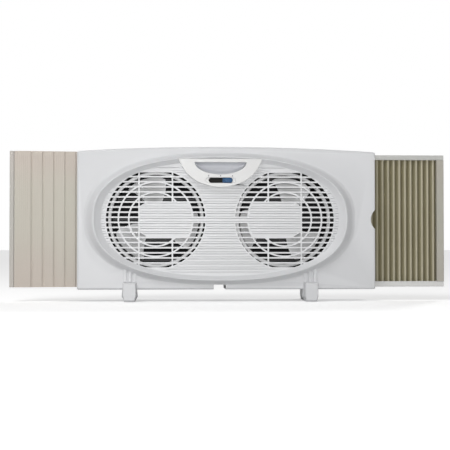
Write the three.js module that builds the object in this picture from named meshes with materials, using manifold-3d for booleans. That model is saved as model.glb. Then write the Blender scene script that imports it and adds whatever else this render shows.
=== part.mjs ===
// Twin window fan with a telescoping slat panel on its left and a pleated curtain panel on
// its right. Millimetres, +X right, +Y to the back (the front faces -Y), +Z up.
// Everything is laid out about the point midway between the two fan axes, on the parting
// plane of the casing, and the whole is then set on the middle of its base.
import * as THREE from 'three';
import { mergeVertices } from 'three/addons/utils/BufferGeometryUtils.js';
import Module from 'manifold-3d';

const wasm = await Module();
wasm.setup();

// ---------------------------------------------------------------- driving dimensions
// clearances
const TOUCH = 0.3; // between pieces that rest on each other
const SLIDE = 0.4; // round pieces that slide

// fans
const BLADE_R = 84; // tip radius, a 7 inch class impeller
const BLADE_COUNT = 3;
const BLADE_T = 1.8;
const BLADE_DEPTH = 30; // axial depth of a blade at its tip
const BLADE_FRONT = -3; // front edge of the blades
const HUB_R = 21;
const HUB_WALL = 1.8;
const HUB_DEPTH = 24;
const TIP_GAP = 2.5;
const AIR_RING_T = 2.5;
const AIR_RING_LIP = 1.2; // bead on the front edge of the air ring
const AIR_RING_FRONT = -13;
const AIR_RING_DEPTH = 44;
const SHAFT_R = 2.4;
const BLADE_PHASE_LEFT = 95; // degrees, seen from the front, counter-clockwise from +X
const BLADE_PHASE_RIGHT = 65;

// front grille
const HOLE_MARGIN = 6.5; // air ring to the edge of the barred circle
const WAIST_HALF = 29; // half of the closed middle between the barred circles
const GRILLE_SIDE = 14.2; // barred circle to the grille's edge, sideways
const GRILLE_RISE = 16.2; // the same, up and down
const OVAL_UP = 1.2; // the oval's centre above the fan axes
const OVAL_FULL = 2.4; // its exponent: 2 is an ellipse, more is fuller at the shoulders
const GRILLE_T = 4;
const GRILLE_PROUD = 4; // grille's front ahead of the casing face
const ROW_PITCH = 9.75;
const ROW_GAP = 6.2;
const ROWS = 19;
const BAR_T = 3;
const RING_BAR_OUTER = 71.5;
const RING_BAR_INNER = 51.7;
const UPRIGHT_X = 32;
const COVER_ROWS = 3; // closed rows above and below the axis row
const COVER_CHAMFER = 16;

// oval rim round the grille
const RIM_SLOPE = 4.5; // how far the inner wall leans out
const RIM_SIDE = 23; // rim width at the ends
const RIM_TOP = 11.5; // rim width above and below
const RIM_RISE = 13.5; // crest ahead of the casing face

// casing
const SKIN = 2.4;
const WALL = 2;
const BAND_TOP = 11.05; // casing above the rim, at the middle
const BAND_BOTTOM = 8.55;
const ARCH = 9; // rise of the top edge
const WING_LEFT = 55.5; // barred circle to the left edge
const WING_RIGHT = 82;
const CASE_FRONT = 38; // parting plane to the casing face
const CASE_REAR = 52;
const CORNER_R = 3.5;
const EDGE_R = 3.5;
const NOTCH_X = -1.1; // cord notch in the bottom edge
const NOTCH_W = 23.1;
const NOTCH_H = 9.1;
const GRIP_H = 38; // finger notch in the right edge
const GRIP_DEPTH = 9;
const POST_R = 4.5; // screw posts
const POST_INSET = 9.5; // post axis outside the tray
const POST_DOWN = 12.5; // and inside its top and bottom

// tray that carries the air rings
const TRAY_T = 2;
const TRAY_FLOOR = 8;
const TRAY_SIDE = 1; // tray beyond the barred circles

// control panel, handle and switch
const PANEL_DOWN = 4.1; // panel's top below the rim's inner edge
const PANEL_PROUD = 14; // ahead of the casing face
const PANEL_T = 2.6;
// half width of the panel and how far below its top
const PANEL_HALF = [
  [80.4, 0], [76.5, 7.4], [72.6, 14.1], [68.3, 21.6], [61.5, 28.6], [56.0, 33.7],
  [47.0, 40.0], [40.0, 43.6], [24.0, 48.9], [12.0, 51.4],
];
const PANEL_DROP = 52.4;
const GRIP_HALF = 49.6; // half-moon hand grip
const GRIP_DOWN = 4.3; // its flat top below the panel's
const GRIP_DROP = 23;
const CUP_DEPTH = 24;
const CUP_T = 2;
const SLOT_W = 46.4;
const SLOT_H = 10;
const SLOT_DOWN = 38.9; // the slot's middle below the panel's top
const KNOB_W = 17;
const KNOB_PROUD = 1;
const FLANGE_T = 1.8;
const FLANGE_LAP = 2; // flange beyond the knob, sideways
const FLANGE_LIP = 0.6; // flange beyond the slot, up and down
const SWITCH_W = 50;
const SWITCH_DEPTH = 15;

// motors
const CORE_W = 68;
const CORE_H = 44;
const CORE_T = 14;
const CORE_FRONT = -26;
const CORE_OFF = 10; // the core reaches further towards the middle of the casing
const CORE_ARM = 9; // iron above and below the coil's window
const CORE_LEG = 10; // iron inside the coil
const CORE_NECK = 7; // iron between the bore and the window
const ROTOR_R = 12.3;
const ROTOR_GAP = 0.7;
const COIL_T = 7;
const COIL_OVERHANG = 5;
const BRACKET_W = 12;
const BRACKET_T = 2.4;
const BRACKET_REACH = 4;
const BOSS_R = 4;
const BOSS_IN = 6; // screw from the core's outer corner
const SCREW_R = 1.6;

// rear
const REAR_GRILLE_R = 97;
const REAR_RING_T = 3;
const REAR_RING_DEPTH = 14;
const LOUVRES = 14;
const LOUVRE_T = 1.8;
const LOUVRE_LEAN = 50; // degrees from the fan axis

// left panel: slats that draw out of the casing one after another
const SLATS = 5;
const SLAT_T = 1.5;
const SLAT_STEP = 2.3; // from one slat to the next behind it
const SLAT_PITCH = 21.2;
const SLAT_OVERLAP = 3;
const SLAT_FIRST_W = 31.2;
const SLAT_FRONT = -30;
const SLAT_UNDER = 4.55; // slats end this far above the casing's bottom edge
const SLAT_STANDOFF = 3.7; // the last slat's inner edge outside the casing
const LEFT_POST_W = 9.5;
const LEFT_POST_D = 14;

// right panel: two rails and a post that draw a pleated curtain out
const RIGHT_REACH = 126.3;
const RIGHT_TRAVEL = 118;
const RIGHT_POST_W = 14.3;
const RIGHT_POST_D = 15;
const RAIL_H = 9.6;
const RAIL_D = 12;
const RAIL_FRONT = -16;
const RAIL_T = 1.6;
const RAIL_WEB = 2.4;
const RAIL_EXTRA = 1.3; // the bottom rail is this much taller
const RAIL_HELD = 92; // length inside the casing when drawn out
const TRACK_T = 1.3;
const TRACK_LAP = 1.7; // track beyond the rail's inner edge
const PLEATS = 15;
const PLEAT_T = 0.8;
const CURTAIN_HELD = 42; // curtain inside the casing when drawn out
const ANCHOR_W = 4;

// cord gland in the back
const GLAND_R = 5.5;
const GLAND_BORE = 3.2;
const GLAND_FROM_LEFT = 24;
const GLAND_FROM_BOTTOM = 28;

// feet
const FOOT_X = 174;
const FOOT_H = 23;
const FOOT_HALF = 12.6;
const FOOT_FLANK = 15.6;
const FOOT_SOLE = 10.3;
const FOOT_HOOK = 14; // how far the ends reach up the casing
const FOOT_NOSE = 27;
const FOOT_HEEL = 9;
const RIB_W = 5.4;
const RIB_PITCH = 9.3;
const RIB_RISE = 7;
const RIB_GAP = 13; // from the rim's crest to the top of a rib

// ---------------------------------------------------------------- derived places
const RING_IN = BLADE_R + TIP_GAP;
const RING_OUT = RING_IN + AIR_RING_T;
const HOLE_R = RING_OUT + HOLE_MARGIN;
const FAN_X = WAIST_HALF + HOLE_R;
const GRILLE_A = FAN_X + HOLE_R + GRILLE_SIDE;
const GRILLE_B = HOLE_R + GRILLE_RISE;
const LIP_A = GRILLE_A + TOUCH;
const LIP_B = GRILLE_B + TOUCH;
const RIM_A = LIP_A + RIM_SLOPE + RIM_SIDE;
const RIM_B = LIP_B + RIM_SLOPE + RIM_TOP;
const LEFT = FAN_X + HOLE_R + WING_LEFT;
const RIGHT = FAN_X + HOLE_R + WING_RIGHT;
const BOTTOM = -(RIM_B - OVAL_UP + BAND_BOTTOM);
const TOP_MID = OVAL_UP + RIM_B + BAND_TOP;
const TOP_END = TOP_MID - ARCH;
const FACE = -CASE_FRONT;
const GRILLE_FRONT = FACE - GRILLE_PROUD;
const GRILLE_BACK = GRILLE_FRONT + GRILLE_T;
const CREST = FACE - RIM_RISE;
const PANEL_FRONT = FACE - PANEL_PROUD;
const REAR_IN = CASE_REAR - SKIN;

// right panel heights follow the casing's inside
const TRACK_TOP = TOP_END - WALL - TOUCH;
const TRACK_BOTTOM = BOTTOM + WALL + TOUCH;
const RAIL_TOP = TRACK_TOP - TRACK_T - TOUCH;
const RAIL_BOTTOM = TRACK_BOTTOM + TRACK_T + TOUCH;
const TRAY_TOP = RAIL_TOP - RAIL_H - TRACK_LAP - SLIDE;
const TRAY_BOTTOM = RAIL_BOTTOM + RAIL_H + RAIL_EXTRA + TRACK_LAP + SLIDE;
const TRAY_HALF = FAN_X + HOLE_R + TRAY_SIDE;
const POST_X = TRAY_HALF + POST_INSET;
const PANEL_TOP = OVAL_UP + LIP_B + RIM_SLOPE - PANEL_DOWN;
const GRIP_TOP = PANEL_TOP - GRIP_DOWN;
const SLOT_Z = PANEL_TOP - SLOT_DOWN;
const SLAT_TOP = TOP_END;
const SLAT_BOTTOM = BOTTOM + SLAT_UNDER;
const GLAND_X = -LEFT + GLAND_FROM_LEFT;
const GLAND_Z = BOTTOM + GLAND_FROM_BOTTOM;

// ---------------------------------------------------------------- helpers
const deg = Math.PI / 180;

// a closed solid from a geometry, its faces turned outwards
function solid(geometry) {
  let g = geometry.clone();
  for (const name of Object.keys(g.attributes)) {
    if (name !== 'position') g.deleteAttribute(name);
  }
  g = mergeVertices(g, 1e-4);
  const p = new Float32Array(g.attributes.position.array);
  const t = new Uint32Array(g.index.array);
  let volume = 0;
  for (let i = 0; i < t.length; i += 3) {
    const [a, b, c] = [t[i] * 3, t[i + 1] * 3, t[i + 2] * 3];
    volume += p[a] * (p[b + 1] * p[c + 2] - p[b + 2] * p[c + 1]);
    volume += p[a + 1] * (p[b + 2] * p[c] - p[b] * p[c + 2]);
    volume += p[a + 2] * (p[b] * p[c + 1] - p[b + 1] * p[c]);
  }
  if (volume < 0) {
    for (let i = 0; i < t.length; i += 3) [t[i + 1], t[i + 2]] = [t[i + 2], t[i + 1]];
  }
  return new wasm.Manifold(new wasm.Mesh({ numProp: 3, vertProperties: p, triVerts: t }));
}

// an outline in X and Z, pushed from y0 to y1
function prism(points, y0, y1) {
  const shape = new THREE.Shape(points.map(([x, z]) => new THREE.Vector2(x, z)));
  const g = new THREE.ExtrudeGeometry(shape, { depth: y1 - y0, bevelEnabled: false });
  g.rotateX(Math.PI / 2);
  g.translate(0, y1, 0);
  return solid(g);
}

// an outline in Y and Z, pushed from x0 to x1
function alongX(points, x0, x1) {
  const shape = new THREE.Shape(points.map(([y, z]) => new THREE.Vector2(y, z)));
  const g = new THREE.ExtrudeGeometry(shape, { depth: x1 - x0, bevelEnabled: false });
  const axes = new THREE.Matrix4().makeBasis(
    new THREE.Vector3(0, 1, 0), new THREE.Vector3(0, 0, 1), new THREE.Vector3(1, 0, 0));
  g.applyMatrix4(axes);
  g.translate(x0, 0, 0);
  return solid(g);
}

// an outline in X and Y, pushed from z0 to z1
function upright(points, z0, z1) {
  const shape = new THREE.Shape(points.map(([x, y]) => new THREE.Vector2(x, y)));
  const g = new THREE.ExtrudeGeometry(shape, { depth: z1 - z0, bevelEnabled: false });
  g.translate(0, 0, z0);
  return solid(g);
}

function box(x0, x1, y0, y1, z0, z1) {
  const g = new THREE.BoxGeometry(x1 - x0, y1 - y0, z1 - z0);
  g.translate((x0 + x1) / 2, (y0 + y1) / 2, (z0 + z1) / 2);
  return solid(g);
}

// a cylinder along Y
function rod(x, z, r, y0, y1, sides = 24) {
  const g = new THREE.CylinderGeometry(r, r, y1 - y0, sides);
  g.translate(x, (y0 + y1) / 2, z);
  return solid(g);
}

// a profile of [radius, y] turned about the axis through (x, z)
function turned(profile, x, z, sides) {
  const closed = [...profile, profile[0]].map(([r, y]) => new THREE.Vector2(r, y));
  const g = new THREE.LatheGeometry(closed, sides);
  g.translate(x, 0, z);
  return solid(g);
}

// a skin over outlines of equal point count, each [points, y], closed at both ends
function loft(sections) {
  const n = sections[0][0].length;
  const position = [];
  const index = [];
  for (const [points, y] of sections) {
    for (const [x, z] of points) position.push(x, y, z);
  }
  for (let s = 0; s + 1 < sections.length; s++) {
    for (let i = 0; i < n; i++) {
      const a = s * n + i;
      const b = s * n + ((i + 1) % n);
      index.push(a, b, b + n, a, b + n, a + n);
    }
  }
  const cap = (points) => {
    const outline = points.map(([x, z]) => new THREE.Vector2(x, z));
    return THREE.ShapeUtils.triangulateShape(outline, []);
  };
  const last = (sections.length - 1) * n;
  for (const [a, b, c] of cap(sections[0][0])) index.push(a, c, b);
  for (const [a, b, c] of cap(sections[sections.length - 1][0])) {
    index.push(last + a, last + b, last + c);
  }
  const g = new THREE.BufferGeometry();
  g.setAttribute('position', new THREE.Float32BufferAttribute(position, 3));
  g.setIndex(index);
  return solid(g);
}

function join(list) {
  let out = list[0];
  for (const s of list.slice(1)) out = out.add(s);
  return out;
}

function material(color, roughness, metalness = 0) {
  return new THREE.MeshStandardMaterial({ color, roughness, metalness });
}

const group = new THREE.Group();

function part(name, shape, look) {
  const mesh = shape.getMesh();
  const g = new THREE.BufferGeometry();
  g.setAttribute('position', new THREE.BufferAttribute(new Float32Array(mesh.vertProperties), 3));
  g.setIndex(new THREE.BufferAttribute(new Uint32Array(mesh.triVerts), 1));
  g.computeVertexNormals();
  const node = new THREE.Mesh(g, look);
  node.name = name;
  group.add(node);
}

// a full oval about the oval's centre, and how far it reaches down at a place along it
const bend = (v) => Math.sign(v) * Math.abs(v) ** (2 / OVAL_FULL);
const reach = (a, b, x) => b * (1 - Math.abs(x / a) ** OVAL_FULL) ** (1 / OVAL_FULL);
function oval(a, b, sides) {
  const points = [];
  for (let i = 0; i < sides; i++) {
    const t = (2 * Math.PI * (i + 0.5)) / sides;
    points.push([a * bend(Math.cos(t)), OVAL_UP + b * bend(Math.sin(t))]);
  }
  return points;
}

// ---------------------------------------------------------------- looks
const shellWhite = material(0xdcdcdd, 0.42);
const grilleWhite = material(0xdfe0e1, 0.4);
const bladeWhite = material(0xe9eaec, 0.35);
const blackPlastic = material(0x1b1c1e, 0.55);
const slatBeige = material(0xc6bbad, 0.6);
const curtainCream = material(0xb9b091, 0.75);
const railGrey = material(0xc9cac6, 0.45);
const postGrey = material(0xb2ab9a, 0.5);
const knobBlue = material(0x1f4f96, 0.3);
const steel = material(0xa9abad, 0.35, 0.9);
const coreSteel = material(0x6d7074, 0.5, 0.8);
const copper = material(0x9a5a32, 0.45, 0.7);
const zinc = material(0x9b9c9e, 0.45, 0.85);
const wireGrey = material(0x3a3c40, 0.6);

// ---------------------------------------------------------------- casing outline
// The top edge is a low arch between square ends; the same points for every inset.
function casing(inset) {
  const l = -LEFT + inset;
  const r = RIGHT - inset;
  const b = BOTTOM + inset;
  const c = Math.max(CORNER_R - inset, 0.4);
  const half = (LEFT + RIGHT) / 2;
  const mid = (RIGHT - LEFT) / 2;
  const top = (x) => TOP_END - inset + ARCH * (1 - ((x - mid) / half) ** 2);
  const points = [];
  const corner = (x, z, from) => {
    for (let i = 0; i <= 3; i++) {
      const t = (from + 30 * i) * deg;
      points.push([x + c * Math.cos(t), z + c * Math.sin(t)]);
    }
  };
  corner(l + c, b + c, 180);
  corner(r - c, b + c, 270);
  corner(r - c, top(r) - c, 0);
  for (let i = 1; i < 16; i++) {
    const x = r - c - ((r - l - 2 * c) * i) / 16;
    points.push([x, top(x)]);
  }
  corner(l + c, top(l) - c, 90);
  return points;
}

// ---------------------------------------------------------------- front shell
// stations across the rim: widening at the ends, widening above and below, y
const flare = (s) => [RIM_SLOPE + RIM_SIDE * s, RIM_SLOPE + RIM_TOP * s];
const rimOuter = [
  [0, 0, FACE - 1],
  [...flare(0), CREST + 3],
  [...flare(0.14), CREST + 0.8],
  [...flare(0.36), CREST],
  [...flare(0.62), CREST + 2],
  [...flare(0.84), CREST + 7.5],
  [...flare(1), FACE],
];
const rimInner = [
  [...flare(1), FACE + SKIN],
  [...flare(0.84), FACE + SKIN],
  [...flare(0.56), CREST + SKIN + 2],
  [...flare(0.24), CREST + SKIN + 0.8],
  [RIM_SLOPE * 0.55 + 2, RIM_SLOPE * 0.55 + 1.6, FACE + SKIN],
  [0, 0, FACE + SKIN],
];

function rim() {
  const sides = 60;
  const profile = [...rimOuter, ...rimInner];
  const n = profile.length;
  const position = [];
  const index = [];
  for (let i = 0; i < sides; i++) {
    const t = (2 * Math.PI * (i + 0.5)) / sides;
    for (const [da, db, y] of profile) {
      position.push((LIP_A + da) * bend(Math.cos(t)), y, OVAL_UP + (LIP_B + db) * bend(Math.sin(t)));
    }
  }
  for (let i = 0; i < sides; i++) {
    const k = (i + 1) % sides;
    for (let j = 0; j < n; j++) {
      const m = (j + 1) % n;
      index.push(i * n + j, k * n + j, k * n + m, i * n + j, k * n + m, i * n + m);
    }
  }
  const g = new THREE.BufferGeometry();
  g.setAttribute('position', new THREE.Float32BufferAttribute(position, 3));
  g.setIndex(index);
  return solid(g);
}

// a convex outline with each of its edges moved out by the same distance
function grown(points, by) {
  const n = points.length;
  const out = [];
  for (let i = 0; i < n; i++) {
    const [ax, az] = points[(i + n - 1) % n];
    const [bx, bz] = points[i];
    const [cx, cz] = points[(i + 1) % n];
    const before = new THREE.Vector2(bz - az, ax - bx).normalize();
    const after = new THREE.Vector2(cz - bz, bx - cx).normalize();
    const k = by / (1 + before.dot(after));
    out.push([bx + k * (before.x + after.x), bz + k * (before.y + after.y)]);
  }
  return out;
}

// the panel's outline, counter-clockwise from its top left corner
const panelHalf = PANEL_HALF.map(([w, down]) => [w, PANEL_TOP - down]);
const panelBase = [
  ...panelHalf.map(([w, z]) => [-w, z]), [0, PANEL_TOP - PANEL_DROP], ...[...panelHalf].reverse(),
];
const panelOutline = (grow) => grown(panelBase, grow);

// the solid under a convex outline, drawn in by the same distance all round
function drawnIn(points, by, y0, y1) {
  let out = prism(points, y0, y1);
  for (let i = 0; i < 12; i++) {
    const [dx, dz] = [by * Math.cos(30 * i * deg), by * Math.sin(30 * i * deg)];
    out = out.intersect(prism(points.map(([x, z]) => [x + dx, z + dz]), y0, y1));
  }
  return out;
}

const gripHalfMoon = (grow) => {
  const points = [[-GRIP_HALF - grow, GRIP_TOP + grow], [GRIP_HALF + grow, GRIP_TOP + grow]];
  for (let i = 1; i < 14; i++) {
    const t = (-180 * i) / 14 * deg;
    points.push([(GRIP_HALF + grow) * Math.cos(t), GRIP_TOP + (GRIP_DROP + grow) * Math.sin(t)]);
  }
  return points;
};

const notchL = NOTCH_X - NOTCH_W / 2;
const notchR = NOTCH_X + NOTCH_W / 2;
const cordNotch = () => box(notchL, notchR, FACE - 5, CASE_REAR + 5, BOTTOM - 5, BOTTOM + NOTCH_H);
const postLow = TRAY_BOTTOM + POST_DOWN;
const postHigh = TRAY_TOP - POST_DOWN;
const postPlaces = [
  [-POST_X, postLow], [-POST_X, postHigh], [POST_X, postLow], [POST_X, postHigh],
];

function frontShell() {
  const outer = loft([
    [casing(EDGE_R), FACE],
    [casing(EDGE_R * 0.3), FACE + EDGE_R * 0.3],
    [casing(0), FACE + EDGE_R],
    [casing(0), 0],
  ]);
  const inner = loft([
    [casing(WALL + 1), FACE + SKIN],
    [casing(WALL), FACE + SKIN + 1.4],
    [casing(WALL), 5],
  ]);
  let body = outer.subtract(inner);
  body = body.subtract(prism(oval(RIM_A - 1.2, RIM_B - 0.8, 60), FACE - 5, FACE + SKIN + 1));
  body = body.add(rim());
  // ribs that run down to each foot
  for (const side of [-1, 1]) {
    for (const k of [-1, 0, 1]) {
      const x = side * FOOT_X + k * RIB_PITCH;
      const top = OVAL_UP - reach(LIP_A + RIM_SLOPE, LIP_B + RIM_SLOPE, x) - RIB_GAP;
      body = body.add(box(x - RIB_W / 2, x + RIB_W / 2, FACE - RIB_RISE * 0.5, FACE + 1,
        BOTTOM + FOOT_HOOK + TOUCH, top));
    }
  }
  // screw posts
  for (const [x, z] of postPlaces) {
    body = body.add(rod(x, z, POST_R, FACE + SKIN - 0.6, REAR_IN - TOUCH, 12));
    body = body.subtract(rod(x, z, SCREW_R + TOUCH, 0, REAR_IN + 1, 12));
  }
  // way out for the slats on the left, open at the top, and for the curtain on the right
  const slatBack = SLAT_FRONT + SLAT_STEP * SLATS + SLAT_T + TOUCH;
  body = body.subtract(box(-LEFT - 5, -LEFT + WALL + 3, SLAT_FRONT - 1, slatBack,
    SLAT_BOTTOM - 1, TOP_MID + 5));
  body = body.subtract(box(-LEFT - 5, -LEFT + SLAT_FIRST_W + 4, SLAT_FRONT - 1, slatBack,
    0, TOP_MID + 5));
  body = body.subtract(box(RIGHT - WALL - 3, RIGHT + 5, RAIL_FRONT - SLIDE - TRACK_T - 0.7, 5,
    TRACK_BOTTOM, TRACK_TOP));
  // notches
  const gripR = ((GRIP_H / 2) ** 2 + GRIP_DEPTH ** 2) / (2 * GRIP_DEPTH);
  body = body.subtract(rod(RIGHT - GRIP_DEPTH + gripR, 0, gripR, FACE - 5, 5, 36));
  body = body.subtract(cordNotch());
  // seats of the control panel and of the hand grip's cup in the rim
  body = body.subtract(prism(panelOutline(TOUCH), CREST - 5, GRILLE_FRONT));
  body = body.subtract(prism(gripHalfMoon(CUP_T + TOUCH), CREST - 5, PANEL_FRONT + CUP_DEPTH + 1));
  return body;
}
part('front_shell', frontShell(), shellWhite);

// ---------------------------------------------------------------- front grille
const fans = [
  { name: 'left', x: -FAN_X, inward: 1, phase: BLADE_PHASE_LEFT },
  { name: 'right', x: FAN_X, inward: -1, phase: BLADE_PHASE_RIGHT },
];

// open cells in front of one fan
function cells(fan) {
  const y0 = GRILLE_FRONT - 1;
  const y1 = GRILLE_BACK + 1;
  const at = (u) => fan.x + fan.inward * u; // u runs towards the middle of the casing
  const span = (u0, u1, z0, z1) =>
    box(Math.min(at(u0), at(u1)), Math.max(at(u0), at(u1)), y0, y1, z0, z1);
  const middle = (ROWS - 1) / 2;
  const rows = [];
  for (let k = 0; k < ROWS; k++) {
    const z = (middle - k) * ROW_PITCH;
    rows.push(span(-HOLE_R - 1, HOLE_R + 1, z - ROW_GAP / 2, z + ROW_GAP / 2));
  }
  let open = join(rows).intersect(rod(fan.x, 0, HOLE_R, y0, y1, 48));
  for (const r of [RING_BAR_OUTER, RING_BAR_INNER]) {
    const ring = rod(fan.x, 0, r + BAR_T / 2, y0 - 1, y1 + 1, 36)
      .subtract(rod(fan.x, 0, r - BAR_T / 2, y0 - 2, y1 + 2, 36));
    open = open.subtract(ring);
  }
  for (const u of [-UPRIGHT_X, UPRIGHT_X]) {
    open = open.subtract(span(u - BAR_T / 2, u + BAR_T / 2, -HOLE_R - 1, HOLE_R + 1));
  }
  // closed cover over the motor: from the outer upright to the outer ring bar, with its two
  // outer corners cut off, and a bridge from it to the closed middle
  const top = COVER_ROWS * ROW_PITCH + ROW_PITCH / 2;
  const low = COVER_ROWS * ROW_PITCH - ROW_PITCH / 2;
  const outline = [
    [-UPRIGHT_X, -low], [-UPRIGHT_X + COVER_CHAMFER, -top], [RING_BAR_OUTER, -top],
    [RING_BAR_OUTER, top], [-UPRIGHT_X + COVER_CHAMFER, top], [-UPRIGHT_X, low],
  ].map(([u, z]) => [at(u), z]);
  const cover = prism(outline, y0 - 1, y1 + 1)
    .intersect(rod(fan.x, 0, RING_BAR_OUTER, y0 - 2, y1 + 2, 36));
  open = open.subtract(cover);
  open = open.subtract(span(0, HOLE_R + 2, -ROW_PITCH / 2, ROW_PITCH / 2));
  return open;
}

const coreBore = ROTOR_R + ROTOR_GAP;
const bossPlaces = [
  [CORE_OFF - CORE_W / 2 + BOSS_IN, CORE_H / 2 - BOSS_IN],
  [coreBore + CORE_NECK + CORE_ARM / 2, -CORE_H / 2 + CORE_ARM / 2],
];

function frontGrille() {
  let body = prism(oval(GRILLE_A, GRILLE_B, 60), GRILLE_FRONT, GRILLE_BACK);
  for (const fan of fans) body = body.subtract(cells(fan));
  // window behind the control panel, for the hand grip and the switch
  const within = oval(GRILLE_A - 4, GRILLE_B - 4, 60);
  const window = drawnIn(panelBase, PANEL_T + 1, GRILLE_FRONT - 1, GRILLE_BACK + 1)
    .intersect(prism(within, GRILLE_FRONT - 2, GRILLE_BACK + 2));
  body = body.subtract(window);
  const cupHalf = GRIP_HALF + CUP_T + TOUCH;
  body = body.subtract(prism(gripHalfMoon(CUP_T + TOUCH), GRILLE_FRONT - 1, GRILLE_BACK + 1));
  body = body.subtract(box(-cupHalf, cupHalf, GRILLE_FRONT - 1, GRILLE_BACK + 1, GRIP_TOP,
    OVAL_UP + GRILLE_B + 1));
  for (const fan of fans) {
    for (const [u, z] of bossPlaces) {
      const x = fan.x + fan.inward * u;
      body = body.add(rod(x, z, BOSS_R, GRILLE_BACK - 0.5, CORE_FRONT - TOUCH, 12));
      body = body.subtract(rod(x, z, SCREW_R + TOUCH, GRILLE_BACK + 2, CORE_FRONT + 1, 12));
    }
  }
  return body;
}
part('front_grille', frontGrille(), grilleWhite);

// ---------------------------------------------------------------- control panel
function slotOutline(middle, w, h) {
  const r = h / 2;
  const points = [];
  for (const [x, from] of [[middle + w / 2 - r, -90], [middle - w / 2 + r, 90]]) {
    for (let i = 0; i <= 6; i++) {
      const t = (from + 30 * i) * deg;
      points.push([x + r * Math.cos(t), SLOT_Z + r * Math.sin(t)]);
    }
  }
  return points;
}

const seat = GRILLE_FRONT - TOUCH;
let panel = prism(panelOutline(0), PANEL_FRONT, seat);
panel = panel.subtract(drawnIn(panelBase, PANEL_T, PANEL_FRONT + PANEL_T, seat + 1));
panel = panel.subtract(prism(gripHalfMoon(0), PANEL_FRONT - 1, seat + 1));
panel = panel.subtract(prism(gripHalfMoon(CUP_T + TOUCH), PANEL_FRONT + PANEL_T, seat + 1));
panel = panel.subtract(prism(slotOutline(0, SLOT_W, SLOT_H), PANEL_FRONT - 1, seat + 1));
// it stays inside the rim's sloping wall, which it meets along its top edge
const skirtA = LIP_A - TOUCH;
const skirtB = LIP_B - TOUCH;
panel = panel.intersect(join([
  prism(oval(RIM_A, RIM_B, 60), PANEL_FRONT - 1, PANEL_FRONT + PANEL_T),
  prism(oval(skirtA, skirtB, 60), PANEL_FRONT + PANEL_T - 1, seat + 1),
]));
part('control_panel', panel, shellWhite);

const cupFront = PANEL_FRONT + PANEL_T + TOUCH;
const cupBack = PANEL_FRONT + CUP_DEPTH;
let cup = prism(gripHalfMoon(CUP_T), cupFront, cupBack);
cup = cup.subtract(prism(gripHalfMoon(0), cupFront - 1, cupBack - CUP_T));
part('handle_cup', cup, shellWhite);

// switch: the knob shows through the slot, its flange runs behind the panel
const knobX = SLOT_W / 2 - KNOB_W / 2 - TOUCH;
const flangeFront = PANEL_FRONT + PANEL_T + TOUCH;
const knob = prism(slotOutline(knobX, KNOB_W, SLOT_H - 2 * SLIDE), PANEL_FRONT - KNOB_PROUD,
  flangeFront + 0.5);
const flange = box(knobX - KNOB_W / 2 - FLANGE_LAP, knobX + KNOB_W / 2 + FLANGE_LAP,
  flangeFront, flangeFront + FLANGE_T,
  SLOT_Z - SLOT_H / 2 - FLANGE_LIP, SLOT_Z + SLOT_H / 2 + FLANGE_LIP);
const slider = knob.add(flange);
part('switch_slider', slider, knobBlue);

const switchFront = flangeFront + FLANGE_T + TOUCH;
const switchLow = SLOT_Z - SLOT_H / 2;
const switchTop = GRIP_TOP - GRIP_DROP - CUP_T - TOUCH;
part('switch_body', box(-SWITCH_W / 2, SWITCH_W / 2, switchFront, switchFront + SWITCH_DEPTH,
  switchLow, switchTop), blackPlastic);

// ---------------------------------------------------------------- rear shell
function rearShell() {
  const outer = loft([
    [casing(0), TOUCH],
    [casing(0), CASE_REAR - EDGE_R],
    [casing(EDGE_R * 0.3), CASE_REAR - EDGE_R * 0.3],
    [casing(EDGE_R), CASE_REAR],
  ]);
  const inner = loft([
    [casing(WALL), -5],
    [casing(WALL), REAR_IN - 1.4],
    [casing(WALL + 1), REAR_IN],
  ]);
  let body = outer.subtract(inner);
  for (const fan of fans) {
    body = body.subtract(rod(fan.x, 0, REAR_GRILLE_R + TOUCH, REAR_IN - 2, CASE_REAR + 1, 40));
  }
  // ribs that the tray's floor and the curtain's anchor rest on
  const ribX = RIGHT - CURTAIN_HELD - TOUCH - ANCHOR_W / 2;
  body = body.add(box(ribX - 1, ribX + 1, TOUCH, REAR_IN + 0.5, BOTTOM + 18, TOP_END - 18));
  for (const z of [TRAY_BOTTOM + TRAY_T + 2, TRAY_TOP - TRAY_T - 2]) {
    for (const x of [-FAN_X - HOLE_R + 8, -6, FAN_X + HOLE_R - 8]) {
      body = body.add(box(x, x + 2, TRAY_FLOOR + SKIN + TOUCH, REAR_IN + 0.5, z - 4, z + 4));
    }
  }
  for (const [x, z] of postPlaces) {
    body = body.subtract(rod(x, z, SCREW_R + TOUCH, REAR_IN - 1, CASE_REAR + 1, 12));
  }
  body = body.subtract(cordNotch());
  body = body.subtract(rod(GLAND_X, GLAND_Z, GLAND_R + TOUCH, REAR_IN - 1, CASE_REAR + 1, 20));
  return body;
}
part('rear_shell', rearShell(), shellWhite);

// rear grilles: a round frame with leaning louvres, each hiding the gap above it
function rearGrille(fan) {
  const y1 = CASE_REAR;
  const y0 = y1 - REAR_RING_DEPTH;
  const inner = REAR_GRILLE_R - REAR_RING_T;
  const frame = turned([[inner, y0], [REAR_GRILLE_R, y0], [REAR_GRILLE_R, y1], [inner, y1]], fan.x, 0, 40);
  const pitch = (2 * inner) / LOUVRES;
  const depth = REAR_RING_DEPTH - 2;
  const rise = depth * Math.tan(LOUVRE_LEAN * deg);
  const t = LOUVRE_T / Math.cos(LOUVRE_LEAN * deg);
  const bars = [];
  for (let i = 0; i < LOUVRES; i++) {
    const z = -inner + pitch * (i + 0.5);
    const a = y0 + 1;
    const b = a + depth;
    bars.push(alongX([
      [a, z - rise / 2], [b, z + rise / 2], [b, z + rise / 2 + t], [a, z - rise / 2 + t],
    ], fan.x - inner - 5, fan.x + inner + 5));
  }
  const disc = rod(fan.x, 0, inner + 0.4, y0 - 1, y1 + 1, 40);
  return frame.add(join(bars).intersect(disc));
}
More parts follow.
